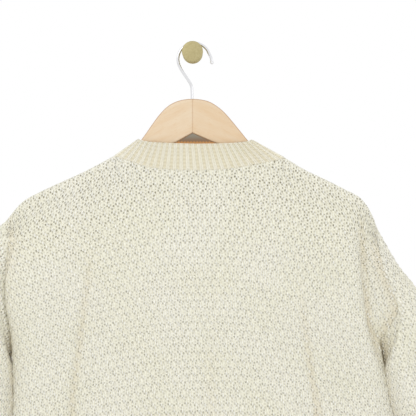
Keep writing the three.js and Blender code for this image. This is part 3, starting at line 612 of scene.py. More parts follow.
def knit_finish(tints):
    """Double moss wool: raised loops with a painted highlight, small holes beside them in painted shade, purl
    bumps between, painted shade between the stitches and in folds.
    """
    finish = Finish("double moss wool")
    place = finish.object_place()
    wale, course, _ = finish.split(finish.node("UVMap", {"uv_map": "stitches"}))
    wale = wale + (finish.noise(place, 140.0, 1.0) - 0.5) * 0.34
    course = course + (finish.noise(finish.shift(place, 0.7), 140.0, 1.0) - 0.5) * 0.5
    openness, fold = (
        finish.node("Attribute", {"attribute_name": key}, output="Fac") for key in ("openness", "fold")
    )
    holes, loops = 0.0, 0.0
    for number, (across, down, radius, height) in enumerate(SPOTS):
        q = (course - down) / 2
        p = (wale - across) / 2 - q / 2
        p_cell, q_cell = (p + 0.5).floor(), (q + 0.5).floor()
        p, q = p - p_cell, q - q_cell
        tall = LOOP_TALL if height > 0 else HOLE_TALL
        aside, below = (p * 2 + q) * SPOT_ACROSS, q * SPOT_DOWN * tall
        cell = finish.node("CombineXYZ", X=p_cell, Y=q_cell, Z=float(number))
        luck = finish.node("TexWhiteNoise", Vector=cell)
        spot = 1 - (aside * aside + below * below).ease((0.25 * radius) ** 2, (1.2 * radius) ** 2)
        spot = spot * (luck * 0.6 + 0.55) * abs(height)
        holes, loops = (holes, spot + loops) if height > 0 else (spot + holes, loops)
    holes, loops = holes.below(1.0), loops.below(1.0)
    legs = ((wale * (4 * math.pi) + math.pi / 2).sin() * 0.5 + 0.5).ease(0.25, 0.8)
    strand_place = finish.node("CombineXYZ", X=wale * 3.0, Y=course * 0.9, Z=0.0)
    strand = finish.noise(strand_place, 1.5, 1.0).ease(0.34, 0.66)
    relief = loops * 0.6 - holes * 0.9 + legs * strand * 0.5
    grain = finish.noise(place, 640.0, 2.0, 0.6).ease(0.36, 0.64)
    shade = finish.blend(finish.noise(place, 14.0, 3.0).ease(0.3, 0.7), tints.knit_light, tints.knit_warm)
    # painted shade: folds and the cloth beside an armhole are tinted a warmer, darker colour
    shade = finish.blend(fold.below(0.75), shade, tints.knit_fold_shade)
    # painted shade between the stitches, off the legs and strands, mixed with a random darker tone from the
    # grain
    shade = finish.blend(1 - (legs * 0.4 + strand * 0.35 + grain * 0.25), shade, tints.knit_gap_shade_and_tone)
    # painted highlight: the raised loops are drawn in a lighter colour
    shade = finish.blend(loops * 0.8, shade, tints.knit_loop_highlight)
    # painted shade in the holes, deeper where the cloth is stretched open
    shade = finish.blend(holes * (openness * 0.3 + 0.52), shade, tints.knit_hole_shade)
    return set_wool(finish, place, shade, relief, 0.001)


def rib_finish(tints):
    """1x1 rib: two bright legs to each knit column and a furrow between columns, drawn by painted shade in
    the furrow and between the legs.
    """
    finish = Finish("ribbed wool")
    place = finish.object_place()
    column, course, _ = finish.split(finish.node("UVMap", {"uv_map": "stitches"}))
    column = column + (finish.noise(place, 120.0, 1.0) - 0.5) * 0.08
    inside = abs(column.fract() - 0.5)
    down = course.fract()
    leg = 1 - abs(inside - (0.19 - down * 0.07)).ease(0.02, 0.11)
    ridge_part = 1 - inside.ease(0.24, 0.34)
    bead = 1 - abs(down - 0.5).ease(0.1, 0.45)
    relief = leg * ridge_part * 0.8 + ridge_part * 0.3 + bead * (1 - ridge_part) * 0.3
    shade = finish.blend(finish.noise(place, 16.0, 3.0).ease(0.35, 0.7), tints.rib_light, tints.rib_warm)
    # painted shade in the furrows and between the legs
    dark = (1 - ridge_part) * (0.85 - bead * 0.2) + (1 - leg) * ridge_part * 0.4
    shade = finish.blend(dark, shade, tints.rib_furrow_shade)
    return set_wool(finish, place, shade, relief, 0.0009)


def wood_finish(tints):
    """Beech: two halves joined in the middle, with grain, flecks, a dark joint and painted shade along its
    edges.
    """
    finish = Finish("beech")
    x, y, z = finish.split(finish.object_place())
    side = x.ease(-0.0003, 0.0003)
    lean = abs(x) * 0.45 + z
    grain_place = finish.node("CombineXYZ", X=abs(x) * 0.12 - z * 0.05, Y=y, Z=lean)
    broad = finish.noise(grain_place, 70.0, 4.0, 0.6)
    fine = finish.noise(grain_place, 420.0, 3.0, 0.6)
    fleck_place = finish.node("CombineXYZ", X=abs(x) * 0.35, Y=y, Z=lean * 1.6)
    fleck = finish.noise(fleck_place, 520.0, 1.0).ease(0.62, 0.75)
    shade = finish.blend(side, tints.wood_left, tints.wood_right)
    shade = finish.blend(broad.ease(0.35, 0.75) * 0.55, shade, tints.wood_deep)
    shade = finish.blend(fine.ease(0.45, 0.8) * 0.25, shade, tints.wood_deep)
    shade = finish.blend(fleck * 0.35, shade, tints.wood_deep)
    joint = 1 - abs(x).ease(0.0002, 0.0011)
    shade = finish.blend(joint * 0.35, shade, tints.wood_joint_and_edge_shade)
    # painted shade along the board's rounded edges, in the same colour as the dark joint
    edge = 1 - abs(y - MID_Y * MM).ease(0.005, 0.0067)
    shade = finish.blend(edge * 0.9, shade, tints.wood_joint_and_edge_shade)
    height = broad * 0.3 + fine * 0.2 - joint * 0.5
    return finish.set(
        Base_Color=shade,
        Roughness=0.42,
        Coat_Weight=0.15,
        Coat_Roughness=0.3,
        Normal=finish.bump(height, 0.0002),
    )


def metal_finish(name, colour, roughness, streaks=0.0, deep=None):
    """Metal with a fine grain along x, that shows in its shine when it has streaks."""
    finish = Finish(name)
    place = finish.object_place()
    x, y, z = finish.split(place)
    stretched = finish.node("CombineXYZ", X=x * 0.08, Y=y, Z=z)
    brushed = finish.noise(stretched, 2600.0, 2.0, 0.6)
    cloud = finish.noise(place, 260.0, 3.0)
    shade = finish.blend(cloud.ease(0.3, 0.8) * 0.5, colour, deep or colour)
    return finish.set(
        Base_Color=shade,
        Metallic=1.0,
        Roughness=(brushed * streaks + roughness) if streaks else (cloud * 0.1 + roughness),
        Normal=finish.bump(brushed, 0.00004 if streaks else 0.00001),
    )


def shade_finish():
    """A card glowing with the painted shade of a wall, seen through the hanger's notch from the room and from
    nowhere else.
    """
    finish = Finish("wall in shade")
    across, _, height = finish.split(finish.object_place())
    scallop = abs((across * (math.pi / 0.0042)).sin()) * 0.0016
    low = 1 - (height - scallop).ease(-0.1242, -0.1216)
    painted_wall_shade = finish.blend(height.ease(-0.122, -0.112), linear(138, 112, 88), linear(146, 140, 126))
    # the painted shade turns warmer along the scalloped lower edge
    painted_wall_shade = finish.blend(low * 0.9, painted_wall_shade, linear(198, 142, 88))
    back = finish.node("NewGeometry", output="Backfacing")
    return finish.set(
        Base_Color=(0, 0, 0, 1),
        # the card glows with the painted shade instead of being lit
        Emission_Color=painted_wall_shade,
        Emission_Strength=1.0,
        Specular_IOR_Level=0.0,
        Alpha=1 - back,
    )


def horn_finish(tints):
    """Polished horn, swirled from dark to pale."""
    finish = Finish("polished horn")
    place = finish.object_place()
    swirl = finish.noise(place, 90.0, 4.0, 0.6)
    shade = finish.blend(swirl.ease(0.35, 0.7), tints.horn_dark, tints.horn_light)
    return finish.set(
        Base_Color=shade,
        Roughness=0.28,
        Coat_Weight=0.3,
        Normal=finish.bump(finish.noise(place, 700.0, 2.0), 0.00004),
    )


# ------------------------------------------------------------------ settings
def length_setting(name, description, default):
    return FloatProperty(name=name, description=description, default=default, unit="LENGTH", precision=5)


def power_setting(name, description, default):
    return FloatProperty(name=name, description=description, default=default, unit="POWER")


def colour_setting(name, description, default):
    return FloatVectorProperty(name=name, description=description, default=default, size=3, subtype="COLOR")


class CardiganKnitSettings(bpy.types.PropertyGroup):
    stitch: length_setting("Stitch width", "Width of one stitch of the body", 0.0062)
    course: length_setting("Row height", "Height of one row of stitches", 0.005)
    relief: length_setting("Stitch relief", "How far knit blocks stand above the holes between", 0.0009)
    rib_pitch: length_setting("Rib pitch", "One knit and one purl column of the rib", 0.0089)
    rib_height: length_setting("Rib height", "How far a rib stands above its furrow", 0.0019)


class CardiganTintSettings(bpy.types.PropertyGroup):
    knit_light: colour_setting("Knit", "Wool of the body", linear(255, 254, 245))
    knit_warm: colour_setting("Knit warm", "Warmer patches of the wool", linear(251, 250, 234))
    # painted highlight on the raised loops
    knit_loop_highlight: colour_setting("Knit loop", "Wool of the raised loops", linear(255, 254, 246))
    # painted shade between the stitches, with a random darker tone
    knit_gap_shade_and_tone: colour_setting("Knit deep", "Wool between the stitches", linear(222, 217, 194))
    # painted shade in the holes
    knit_hole_shade: colour_setting("Knit hole", "What shows through the holes", linear(126, 116, 86))
    # painted shade in folds and beside the armholes
    knit_fold_shade: colour_setting("Knit fold", "Wool in the depth of a fold", linear(214, 190, 144))
    rib_light: colour_setting("Rib", "Wool of the ribs", linear(250, 246, 230))
    rib_warm: colour_setting("Rib warm", "Warmer patches of the ribs", linear(248, 242, 220))
    # painted shade in the furrows of the rib
    rib_furrow_shade: colour_setting("Rib deep", "Wool in the furrows", linear(210, 201, 172))
    wood_left: colour_setting("Wood", "Left half of the hanger", linear(227, 206, 177))
    wood_right: colour_setting("Wood, right", "Right half of the hanger", linear(224, 201, 170))
    wood_deep: colour_setting("Grain", "Darker grain of the wood", linear(214, 176, 128))
    # dark joint of the wood, and painted shade along the board's edges
    wood_joint_and_edge_shade: colour_setting("Edge", "Edge of the wood", linear(170, 122, 80))
    horn_dark: colour_setting("Horn dark", "Dark part of the buttons", linear(84, 56, 36))
    horn_light: colour_setting("Horn light", "Pale part of the buttons", linear(160, 118, 76))
    brass: colour_setting("Brass", "Knob", linear(191, 180, 137))
    brass_deep: colour_setting("Brass, worn", "Darker brass", linear(168, 154, 108))
    steel: colour_setting("Wire", "Hook", linear(228, 228, 230))


class CardiganStageSettings(bpy.types.PropertyGroup):
    distance: length_setting("Camera distance", "From the hanger to the camera", 3.2)
    width: length_setting("View width", "Width seen at the hanger", 0.5658)
    centre_x: length_setting("View centre, across", "Middle of the view", 0.0211)
    centre_z: length_setting("View centre, up", "Middle of the view", -0.2122)
    floor: length_setting("Floor", "Height of the floor below the knob", -0.95)
    soft: FloatProperty(name="Room light", description="Strength of the white room", default=1.0)
    key: power_setting("Key light", "Power of the large soft lamp", 13.0)
    fill: power_setting("Fill light", "Power of the lamp at the right", 4.0)


def settings():
    scene = bpy.context.scene
    return scene.cardigan_knit, scene.cardigan_tints, scene.cardigan_stage


MADE = {}


def finish_of(name):
    """One material for each finish, shared by the pieces that have it."""
    _, tints, _ = settings()
    makers = {
        "knit": lambda: knit_finish(tints),
        "rib": lambda: rib_finish(tints),
        "wood": lambda: wood_finish(tints),
        "horn": lambda: horn_finish(tints),
        "chrome": lambda: metal_finish("bright wire", tints.steel, 0.12),
        "brass": lambda: metal_finish("brushed brass", tints.brass, 0.34, 0.25, tints.brass_deep),
    }
    if name not in MADE:
        MADE[name] = makers[name]()
    return MADE[name]


def place_piece(piece, finish, *nodes):
    piece.data.materials.append(finish_of(finish))
    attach(piece, "root")
    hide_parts(*nodes)
    return piece


# ------------------------------------------------------------------ cloth
# wales are wider over the shoulders, where the cloth is stretched, than lower down
TOP_STITCH = 6.5
LOW_STITCH = 5.6
# x, z and strength down each fold of the back, then its half width and its depth
FOLDS = [
    (
        [
            (-139, -262, 0), (-140, -300, 0.6), (-146, -345, 0.8), (-153, -400, 0.9), (-162, -470, 1),
            (-165, -700, 0.3),
        ], 5, 2.6,
    ),
    ([(143, -290, 0), (151, -360, 0.4), (160, -430, 0.8), (169, -480, 1.2), (176, -700, 0.4)], 5, 3.2),
    ([(22, -380, 0), (24, -430, 0.5), (26, -480, 0.7), (28, -700, 0.4)], 6, 1.4),
    (
        [
            (229, -214, 0), (229, -236, 0.5), (231, -275, 0.8), (234, -320, 1), (240, -371, 1),
            (249, -405, 0.6), (258, -436, 0),
        ], 4.2, 4.2,
    ),
    ([(-236, -232, 0), (-244, -246, 0.5), (-250, -262, 0)], 3, 1.5),
]


# the cloth swells beside a fold, this many half widths from its middle, this wide and this much
SWELL_AT = 2.3
SWELL_WIDTH = 1.5
SWELL = 0.5
# depth in mm of a fold whose painted shade is as dark as can be
FOLD_FULL_SHADE_DEPTH = 6


def fold_marks(points):
    """How far the cloth moves along its normal at the long folds, and how strong the painted shade deep in a
    fold is.
    """
    x, down = points[..., 0], -points[..., 2]
    move, painted_fold_shade = np.zeros(x.shape), np.zeros(x.shape)
    for line, width, depth in FOLDS:
        stops = [-z for _, z, _ in line]
        centre = np.interp(down, stops, [row[0] for row in line])
        strength = np.interp(down, stops, [row[2] for row in line])
        away = (x - centre) / width
        valley = np.exp(-(away**2))
        swell = SWELL * np.exp(-(((away + SWELL_AT) / SWELL_WIDTH) ** 2))
        move += depth * strength * (swell - valley)
        # painted shade, strongest in the middle of each fold
        painted_fold_shade += strength * valley * depth / FOLD_FULL_SHADE_DEPTH
    return move, painted_fold_shade


def edge_taper(rows, columns, closed):
    """Falls from 1 to 0 over the last few rows and columns beside a seam."""
    k = np.minimum(np.arange(rows), np.arange(rows)[::-1])
    taper = np.clip(k / SEAM_TAPER, 0, 1)[:, None] * np.ones(columns)
    if not closed:
        j = np.minimum(np.arange(columns), np.arange(columns)[::-1])
        taper = np.minimum(taper, np.clip(j / SEAM_TAPER, 0, 1)[None, :])
    return taper


def marks_of(wale, course, openness=None, fold=None):
    """What the wool's material reads at each point of a sheet."""
    blank = np.zeros(course.shape)
    return {
        "wale": wale,
        "course": course,
        "openness": blank if openness is None else openness,
        # fold: strength of the painted warm shade in folds and beside the armholes
        "fold": blank if fold is None else fold,
    }


def painted_seam_shade(points, closed=False):
    """Strength of the painted warm shade beside an armhole: it fades away from the seam and towards the hem.
    """
    across = lengths(points.transpose(1, 0, 2)).T
    beside = np.minimum(across, across[:, -1:] - across)
    down = -points[..., 2]
    width, strength = (26, 0.9) if closed else (14, 0.45)
    reach = np.exp(-((beside / width) ** 2))
    return reach * smoothstep(down, 190, 290) * (1 - 0.6 * smoothstep(down, 500, 700)) * strength


def knit_piece(node, points, marks, sign, closed=False, extra=0.0):
    """A sheet of double moss through points; extra moves the cloth out along its normal."""
    knit, _, _ = settings()
    taper = edge_taper(*points.shape[:2], closed)
    relief = double_moss(marks["wale"], marks["course"], knit.stitch / MM, knit.course / MM)
    relief = relief * knit.relief / MM
    relief = relief * (0.25 + 0.75 * taper) + extra
    return place_piece(build_sheet(f"{node}_knit", points, marks, relief, sign, closed), "knit", node)


def openness_of(points):
    """Where the cloth is stretched and its holes show: over the shoulders and under the neck."""
    x, z = points[..., 0], points[..., 2]
    return 1 - smoothstep(-z - 0.0009 * x * x, 165, 300)


def panel_grid(face, side):
    """Fine grid of a body panel, with its wales and courses."""
    knit, _, _ = settings()
    pitch = knit.course / MM
    shares = np.linspace(0, 1, HALF_COLUMNS + 1)
    if face == "back":
        left, right = (half_rows(hand, face, shares) for hand in ("left", "right"))
        centre = (left[:, -1:] + right[:, -1:]) / 2
        keys = np.concatenate([left[:, :-1], centre, right[:, -2::-1]], axis=1)
    else:
        keys = half_rows(side, face, shares)
    middle = HALF_COLUMNS
    if side == "right":
        keys, middle = keys[:, ::-1], 0
    places, top_count, courses = course_places(pitch)
    points = spline(keys, places)
    course = knit_courses(points, top_count, courses, pitch)
    steps = np.linalg.norm(np.diff(points, axis=1), axis=-1)
    width = mix(TOP_STITCH, LOW_STITCH, smoothstep(-points[:, 1:, 2], 150, 370))
    wale = np.concatenate([np.zeros((len(points), 1)), np.cumsum(steps / width, axis=1)], axis=1)
    return points, wale - wale[:, middle : middle + 1], course


class CARDIGAN_OT_body(bpy.types.Operator):
    """Knits the back and the two fronts"""

    bl_idname = "cardigan.body"
    bl_label = "Knit body"

    def execute(self, context):
        points, wale, course = panel_grid("back", None)
        move, fold = fold_marks(points)
        # the fold mark carries painted shade, deep in folds and beside the armholes
        fold = fold * 0.8 + painted_seam_shade(points)
        piece = knit_piece("back", points, marks_of(wale, course, openness_of(points), fold), -1, extra=move)
        for side in ("left", "right"):
            points, wale, course = panel_grid("front", side)
            piece = knit_piece(f"front_{side}", points, marks_of(wale, course, openness_of(points)), 1)
        return {"FINISHED"}


def armhole(side, shares):
    """The armhole's ring, from the shoulder down the back and up the front."""
    rings = []
    fine = np.linspace(0, len(RIDGE) + UNDERARM, 400)
    for face in ("back", "front"):
        rows = half_rows(side, face, np.array([0.0]))[: len(RIDGE) + UNDERARM + 1]
        rings.append(spline(rows, fine)[:, 0])
    down, up = rings[0], rings[1][::-1]
    points = []
    for share in shares:
        line, part = (down, share * 2) if share <= 0.5 else (up, share * 2 - 1)
        measured = lengths(line)
        place = np.interp(part * measured[-1], measured, np.arange(len(line)))
        low = min(int(place), len(line) - 2)
        points.append(mix(line[low], line[low + 1], place - low))
    return np.array(points)


# how square a sleeve's section is drawn, but for the inner quarter of its front
BULGE_POWER = 0.8
FRONT_INNER_POWER = 1.25
# where a sleeve's crease lies round its back, in radians from the outer line, and how wide it is
CREASE_AT = 1.45
CREASE_WIDTH = 0.32
# how far the first free row stands off from the armhole towards the second section
SLEEVE_START = 0.45


def sleeve_section(section, shares):
    """A ring round a sleeve: from the outer line down its back to the inner fold, and up its front."""
    out_x, out_z, in_x, in_z, back, front, crease, tuck = section
    outer, inner = at(out_x, 0, out_z), at(in_x, 0, in_z)
    middle, reach = (outer + inner) / 2, (outer - inner) / 2
    angle = shares * 2 * math.pi
    on_back = angle <= math.pi + 1e-9
    power = np.where((np.cos(angle) < 0) & ~on_back, FRONT_INNER_POWER, BULGE_POWER)
    bulge = np.abs(np.sin(angle)) ** power * np.where(on_back, back, front)
    dent = np.where(on_back, crease * np.exp(-(((angle - CREASE_AT) / CREASE_WIDTH) ** 2)), 0)
    points = middle + reach * np.cos(angle)[:, None]
    points[:, 1] += np.where(on_back, dent - bulge, bulge) + tuck * ((1 - np.cos(angle)) / 2) ** 2
    return points


def sleeve_keys(side, shares):
    """Key rows of a sleeve: the armhole's ring, a row eased out of it, and the other sections."""
    ring = armhole(side, shares)
    sections = [sleeve_section(section, shares) for section in SLEEVE[side]]
    first = sections[0]
    half = np.argmin(np.abs(shares - 0.5))
    top = np.argmin(np.minimum(shares, 1 - shares))
    weight = ((1 - np.cos(shares * 2 * math.pi)) / 2)[:, None]
    between = mix(ring, sections[1], SLEEVE_START)
    sections[0] = between + mix(first[top] - between[top], first[half] - between[half], weight)
    return np.array([ring, *sections])


def sleeve_stitches(side, points, stitch, pitch):
    """Wale and course of a sleeve's points, with the courses square to the sleeve's length."""
    mids = np.array([((row[0] + row[2]) / 2, (row[1] + row[3]) / 2) for row in SLEEVE[side]])
    mids = np.concatenate([[2 * mids[0] - mids[1]], mids])
    line = spline(mids, np.linspace(0, len(mids) - 1, 160))
    way = np.gradient(line, axis=0)
    way /= np.linalg.norm(way, axis=1, keepdims=True)
    measured = lengths(line)
    flat = points[..., (0, 2)]
    nearest = np.array([np.argmin(((row[:, None] - line) ** 2).sum(-1), axis=1) for row in flat])
    away, way = flat - line[nearest], way[nearest]
    course = measured[nearest] + (away * way).sum(-1)
    aside = (away[..., 1] * way[..., 0] - away[..., 0] * way[..., 1]) * HAND[side]
    steps = abs(np.diff(aside, axis=1)) + abs(np.diff(points[..., 1], axis=1))
    wale = np.concatenate([np.zeros((len(points), 1)), np.cumsum(steps, axis=1)], axis=1)
    middle = points.shape[1] // 2
    on_line = middle + np.argmin(abs(aside[:, middle:]), axis=1)[:, None]
    start = np.take_along_axis(wale + aside, on_line, axis=1)
    return (wale - start) / stitch, course / pitch


def tube_shares(count):
    """Shares round a sleeve from its inner fold, where it is sewn, and back to it."""
    shares = np.linspace(0.5, 1.5, count) % 1.0
    shares[0], shares[-1] = 0.5, 0.5
    return shares


class CARDIGAN_OT_sleeves(bpy.types.Operator):
    """Knits the two sleeves"""

    bl_idname = "cardigan.sleeves"
    bl_label = "Knit sleeves"

    def execute(self, context):
        knit, _, _ = settings()
        stitch, pitch = knit.stitch / MM, knit.course / MM
        for side, sign in HAND.items():
            keys = sleeve_keys(side, tube_shares(SLEEVE_COLUMNS))
            points = spline(keys, np.linspace(0, len(keys) - 1, SLEEVE_ROWS))
            points[:, -1] = points[:, 0]
            points = tucked(points)
            wale, course = sleeve_stitches(side, points, stitch, pitch)
            openness = 0.6 * (1 - smoothstep(-points[..., 2], 250, 380))
            # painted warm shade beside the armhole, carried in the fold mark
            marks = marks_of(wale, course, openness, painted_seam_shade(points, True))
            piece = knit_piece(f"sleeve_{side}", points, marks, sign, True)
        return {"FINISHED"}


def even(line, count):
    """count + 1 points at even lengths along a line of points."""
    measured = lengths(line)
    goals = np.linspace(0, measured[-1], count + 1)
    return np.stack([np.interp(goals, measured, line[:, axis]) for axis in range(3)], axis=1)


def tucked(rows):
    """Rows with one more before the first, that carries the cloth on past its seam."""
    step = rows[0] - rows[1]
    step = step / np.maximum(np.linalg.norm(step, axis=-1, keepdims=True), 1e-6)
    return np.concatenate([[rows[0] + step * SEAM_TUCK], rows])


def rib_piece(node, rows, ribs, sign, closed=False, free_end=False):
    """A ribbed strip through key rows of equally many points; a free end is drawn in a little."""
    knit, _, _ = settings()
    pitch = knit.course / MM
    depth = lengths(np.asarray(rows)[:, len(rows[0]) // 2])[-1]
    points = spline(rows, np.linspace(0, len(rows) - 1, round(depth / pitch * 2.4) + 1))
    if closed:
        points[:, -1] = points[:, 0]
    points = tucked(points)
    column = np.broadcast_to(np.linspace(0, ribs, points.shape[1]), points.shape[:2])
    course = lengths(points) / pitch
    relief = (rib_relief(column) - 0.15) * knit.rib_height / MM
    relief[0] = -0.5
    if free_end:
        relief[-1] -= 0.8
    piece = build_sheet(f"{node}_rib", points, marks_of(column, course), relief, sign, closed, (6, 8))
    return place_piece(piece, "rib", node)


def welt_foot(top):
    """The lower edge of a welt under its upper one, drawn in and a little flatter."""
    return np.stack(
        [
            mix(LEVELS[-1][2], top[..., 0], WELT_DRAW),
            mix(MID_Y, top[..., 1], WELT_FLATTEN),
            top[..., 2] - WELT_DEPTH,
        ],
        axis=-1,
    )


class CARDIGAN_OT_welts(bpy.types.Operator):
    """Knits the ribbed hems of the back and fronts"""

    bl_idname = "cardigan.welts"
    bl_label = "Knit welts"

    def execute(self, context):
        knit, _, _ = settings()
        for face, side, name, sign, width in (
            ("back", None, "welt_back", -1, 0.56),
            ("front", "left", "welt_front_left", 1, 0.26),
            ("front", "right", "welt_front_right", 1, 0.24),
        ):
            edge = panel_grid(face, side)[0][-1]
            ribs = round(lengths(edge)[-1] / (knit.rib_pitch / MM))
            top = even(edge, ribs * PER_RIB)
            piece = rib_piece(name, [top, welt_foot(top)], ribs, sign, free_end=True)
        return {"FINISHED"}


class CARDIGAN_OT_cuffs(bpy.types.Operator):
    """Knits the two ribbed cuffs"""

    bl_idname = "cardigan.cuffs"
    bl_label = "Knit cuffs"

    def execute(self, context):
        knit, _, _ = settings()
        for side, sign in HAND.items():
            edge = sleeve_section(SLEEVE[side][-1], tube_shares(SLEEVE_COLUMNS))
            ribs = round(lengths(edge)[-1] / (knit.rib_pitch / MM))
            top = even(edge, ribs * PER_RIB)
            out_x, out_z, in_x, in_z = SLEEVE[side][-1][:4]
            centre = at((out_x + in_x) / 2, 0, (out_z + in_z) / 2)
            flow = np.array([out_x - SLEEVE[side][-2][0], 0, -CUFF_STEEPNESS], float)
            flow /= np.linalg.norm(flow)
            rows = [top] + [centre + (top - centre) * width + flow * down for down, width in CUFF_ROWS]
            piece = rib_piece(f"cuff_{side}", rows, ribs, sign, True, free_end=True)
        return {"FINISHED"}


class CARDIGAN_OT_neckband(bpy.types.Operator):
    """Knits the ribbed neckband from front edge to front edge"""

    bl_idname = "cardigan.neckband"
    bl_label = "Knit neckband"

    def execute(self, context):
        lower, upper = [], []
        shares = np.linspace(0, 1, NECK_RIBS * PER_RIB + 1)
        for face, side, inward, lean in (
            ("front", "left", False, 1.3),
            ("back", "left", True, 1.25),
            ("back", "right", False, 1.25),
            ("front", "right", True, 1.3),
        ):
            seam, top = (
                along([at(x, WAY[face] * out, z) for x, z, out in table[face, side]], where)
                for table, where in ((NECK_SEAM, shares), (NECK_TOP, shares**lean))
            )
            if not inward:
                seam, top = seam[::-1], top[::-1]
            start = 1 if lower else 0
            lower.extend(seam[start:])
            upper.extend(top[start:])
        rows = [np.array(lower), (np.array(lower) + np.array(upper)) / 2, np.array(upper)]
        piece = rib_piece("neckband", rows, 4 * NECK_RIBS, 1, free_end=True)
        return {"FINISHED"}


BAND_WIDTH = 34.0
UNDER_BAND_WIDTH = 28.0
BAND_RISE = 5.0
BAND_ROWS = 60


def band_line(side):
    """The front edge that a button band is sewn to, from the neckband's top to the hem."""
    keys = half_rows(side, "front", np.array([1.0]))[:, 0]
    x, z, out = NECK_TOP["front", side][-1]
    return np.concatenate([[at(x, out, z)], keys[:1], keys[len(RIDGE) - 1 :], [welt_foot(keys[-1])]])


class CARDIGAN_OT_bands(bpy.types.Operator):
    """Knits the two button bands, one over the other"""

    bl_idname = "cardigan.bands"
    bl_label = "Knit button bands"

    def execute(self, context):
        for side, name, width, rise in (
            ("left", "button_band_left", BAND_WIDTH, BAND_RISE),
            ("right", "button_band_right", UNDER_BAND_WIDTH, 0),
        ):
            hand = HAND[side]
            line = along(band_line(side), np.linspace(0, 1, BAND_ROWS))
            shares = np.linspace(0, 1, BAND_RIBS * PER_RIB + 1)
            across = mix(0.3, width, shares)
            up = rise * np.clip(shares * PER_RIB, 0, 1)
            rows = line[:, None, :] + np.stack([-hand * across, up, 0 * across], axis=1)[None]
            if hand > 0:
                rows = rows[:, ::-1]
            piece = rib_piece(name, rows, BAND_RIBS, 1)
        return {"FINISHED"}


# ------------------------------------------------------------------ buttons
BUTTONS = 6
BUTTON_HOLE = 0.0011
HOLE_PLACES = [(x * 0.0021, y * 0.0021) for x in (1, -1) for y in (1, -1)]


def spin_profile(profile, steps):
    """Turns a profile of (radius, height) about Z."""
    bm = bmesh.new()
    verts = [bm.verts.new((r, 0, h)) for r, h in profile]
    edges = [bm.edges.new(pair) for pair in zip(verts, verts[1:])]
    bmesh.ops.spin(
        bm, geom=verts + edges, cent=(0, 0, 0), axis=(0, 0, 1), angle=2 * math.pi, steps=steps, use_merge=True
    )
    bmesh.ops.remove_doubles(bm, verts=bm.verts[:], dist=1e-6)
    return bm


def open_edges(bm):
    return [edge for edge in bm.edges if len(edge.link_faces) < 2]


def button_mesh():
    """A four-holed disc with a raised rim."""
    radius, thick = 0.011, 0.0046
    floor = thick - 0.0016
    rim = [
        (radius - 0.0042, floor), (radius - 0.0036, floor + 0.0004), (radius - 0.003, thick - 0.0005),
        (radius - 0.0022, thick), (radius - 0.0012, thick - 0.0001), (radius - 0.0003, thick - 0.0008),
        (radius, thick - 0.0018), (radius, 0.0014), (radius - 0.0006, 0.0005), (radius - 0.0018, 0.0),
        (0.0068, 0.0),
    ]
    bm = spin_profile(rim, 40)
    for x, y in HOLE_PLACES:
        place = Matrix.Translation((x, y, 0))
        bmesh.ops.create_circle(bm, segments=12, radius=BUTTON_HOLE, matrix=place)
        top = bmesh.ops.create_circle(bm, segments=12, radius=BUTTON_HOLE, matrix=place)["verts"]
        bmesh.ops.translate(bm, verts=top, vec=(0, 0, floor))
    for height in (0.0, floor):
        ring = [edge for edge in open_edges(bm) if all(abs(v.co.z - height) < 1e-7 for v in edge.verts)]
        bmesh.ops.triangle_fill(bm, edges=ring, use_beauty=True)
    for place in HOLE_PLACES:
        centre = Vector(place)
        wall = [
            edge
            for edge in open_edges(bm)
            if all((v.co.xy - centre).length < BUTTON_HOLE + 0.0001 for v in edge.verts)
        ]
        bmesh.ops.bridge_loops(bm, edges=wall)
    bmesh.ops.recalc_face_normals(bm, faces=bm.faces[:])
    return bm


class CARDIGAN_OT_buttons(bpy.types.Operator):
    """Turns the six buttons"""

    bl_idname = "cardigan.buttons"
    bl_label = "Turn buttons"

    def execute(self, context):
        for number in range(1, BUTTONS + 1):
            node = f"button_{number}"
            low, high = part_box(node)
            bm = button_mesh()
            turn = Matrix.Translation(((low.x + high.x) / 2, low.y, (low.z + high.z) / 2))
            turn @= Matrix.Rotation(-math.pi / 2, 4, "X")
            bmesh.ops.transform(bm, matrix=turn, verts=bm.verts[:])
            place_piece(finish_mesh(f"{node}_disc", bm), "horn", node)
        return {"FINISHED"}


# ------------------------------------------------------------------ hanger, hook and knob
WIRE_RADIUS = 0.002
BEAD_RADIUS = 0.0025
HOOK_BEND = 22
HOOK_CENTRE = (2.2, -9.9)
BOARD_ROUND = 0.0032


class CARDIGAN_OT_hanger(bpy.types.Operator):
    """Shapes the hanger's board"""

    bl_idname = "cardigan.hanger"
    bl_label = "Shape hanger"

    def execute(self, context):
        top = along([(x, 0, z) for x, z in BOARD_TOP], np.linspace(0, 1, 181))
        bottom = np.array([(x, 0, z) for x, z in BOARD_BOTTOM], float)
        outline = np.concatenate([top, bottom]) * MM
        bm = bmesh.new()
        ring = bmesh.ops.create_circle(bm, cap_ends=True, segments=len(outline), radius=1)["verts"]
        for vert, (x, _, z) in zip(ring, outline):
            vert.co = (x, (MID_Y - BOARD_THICK / 2) * MM, z)
        moved = bmesh.ops.extrude_face_region(bm, geom=bm.faces[:])["geom"]
        moved = [item for item in moved if isinstance(item, bmesh.types.BMVert)]
        bmesh.ops.translate(bm, verts=moved, vec=(0, BOARD_THICK * MM, 0))
        bmesh.ops.recalc_face_normals(bm, faces=bm.faces[:])
        rim = [
            e
            for e in bm.edges
            if abs(e.verts[0].co.y - e.verts[1].co.y) < 1e-6 and any(len(f.verts) > 4 for f in e.link_faces)
        ]
        bmesh.ops.bevel(
            bm, geom=rim, offset=BOARD_ROUND, segments=5, profile=0.5, affect="EDGES", material=-1
        )
        bmesh.ops.triangulate(bm, faces=[f for f in bm.faces if len(f.verts) > 4])
        piece = finish_mesh("hanger_board_wood", bm)
        place_piece(piece, "wood", "hanger_board")
        return {"FINISHED"}


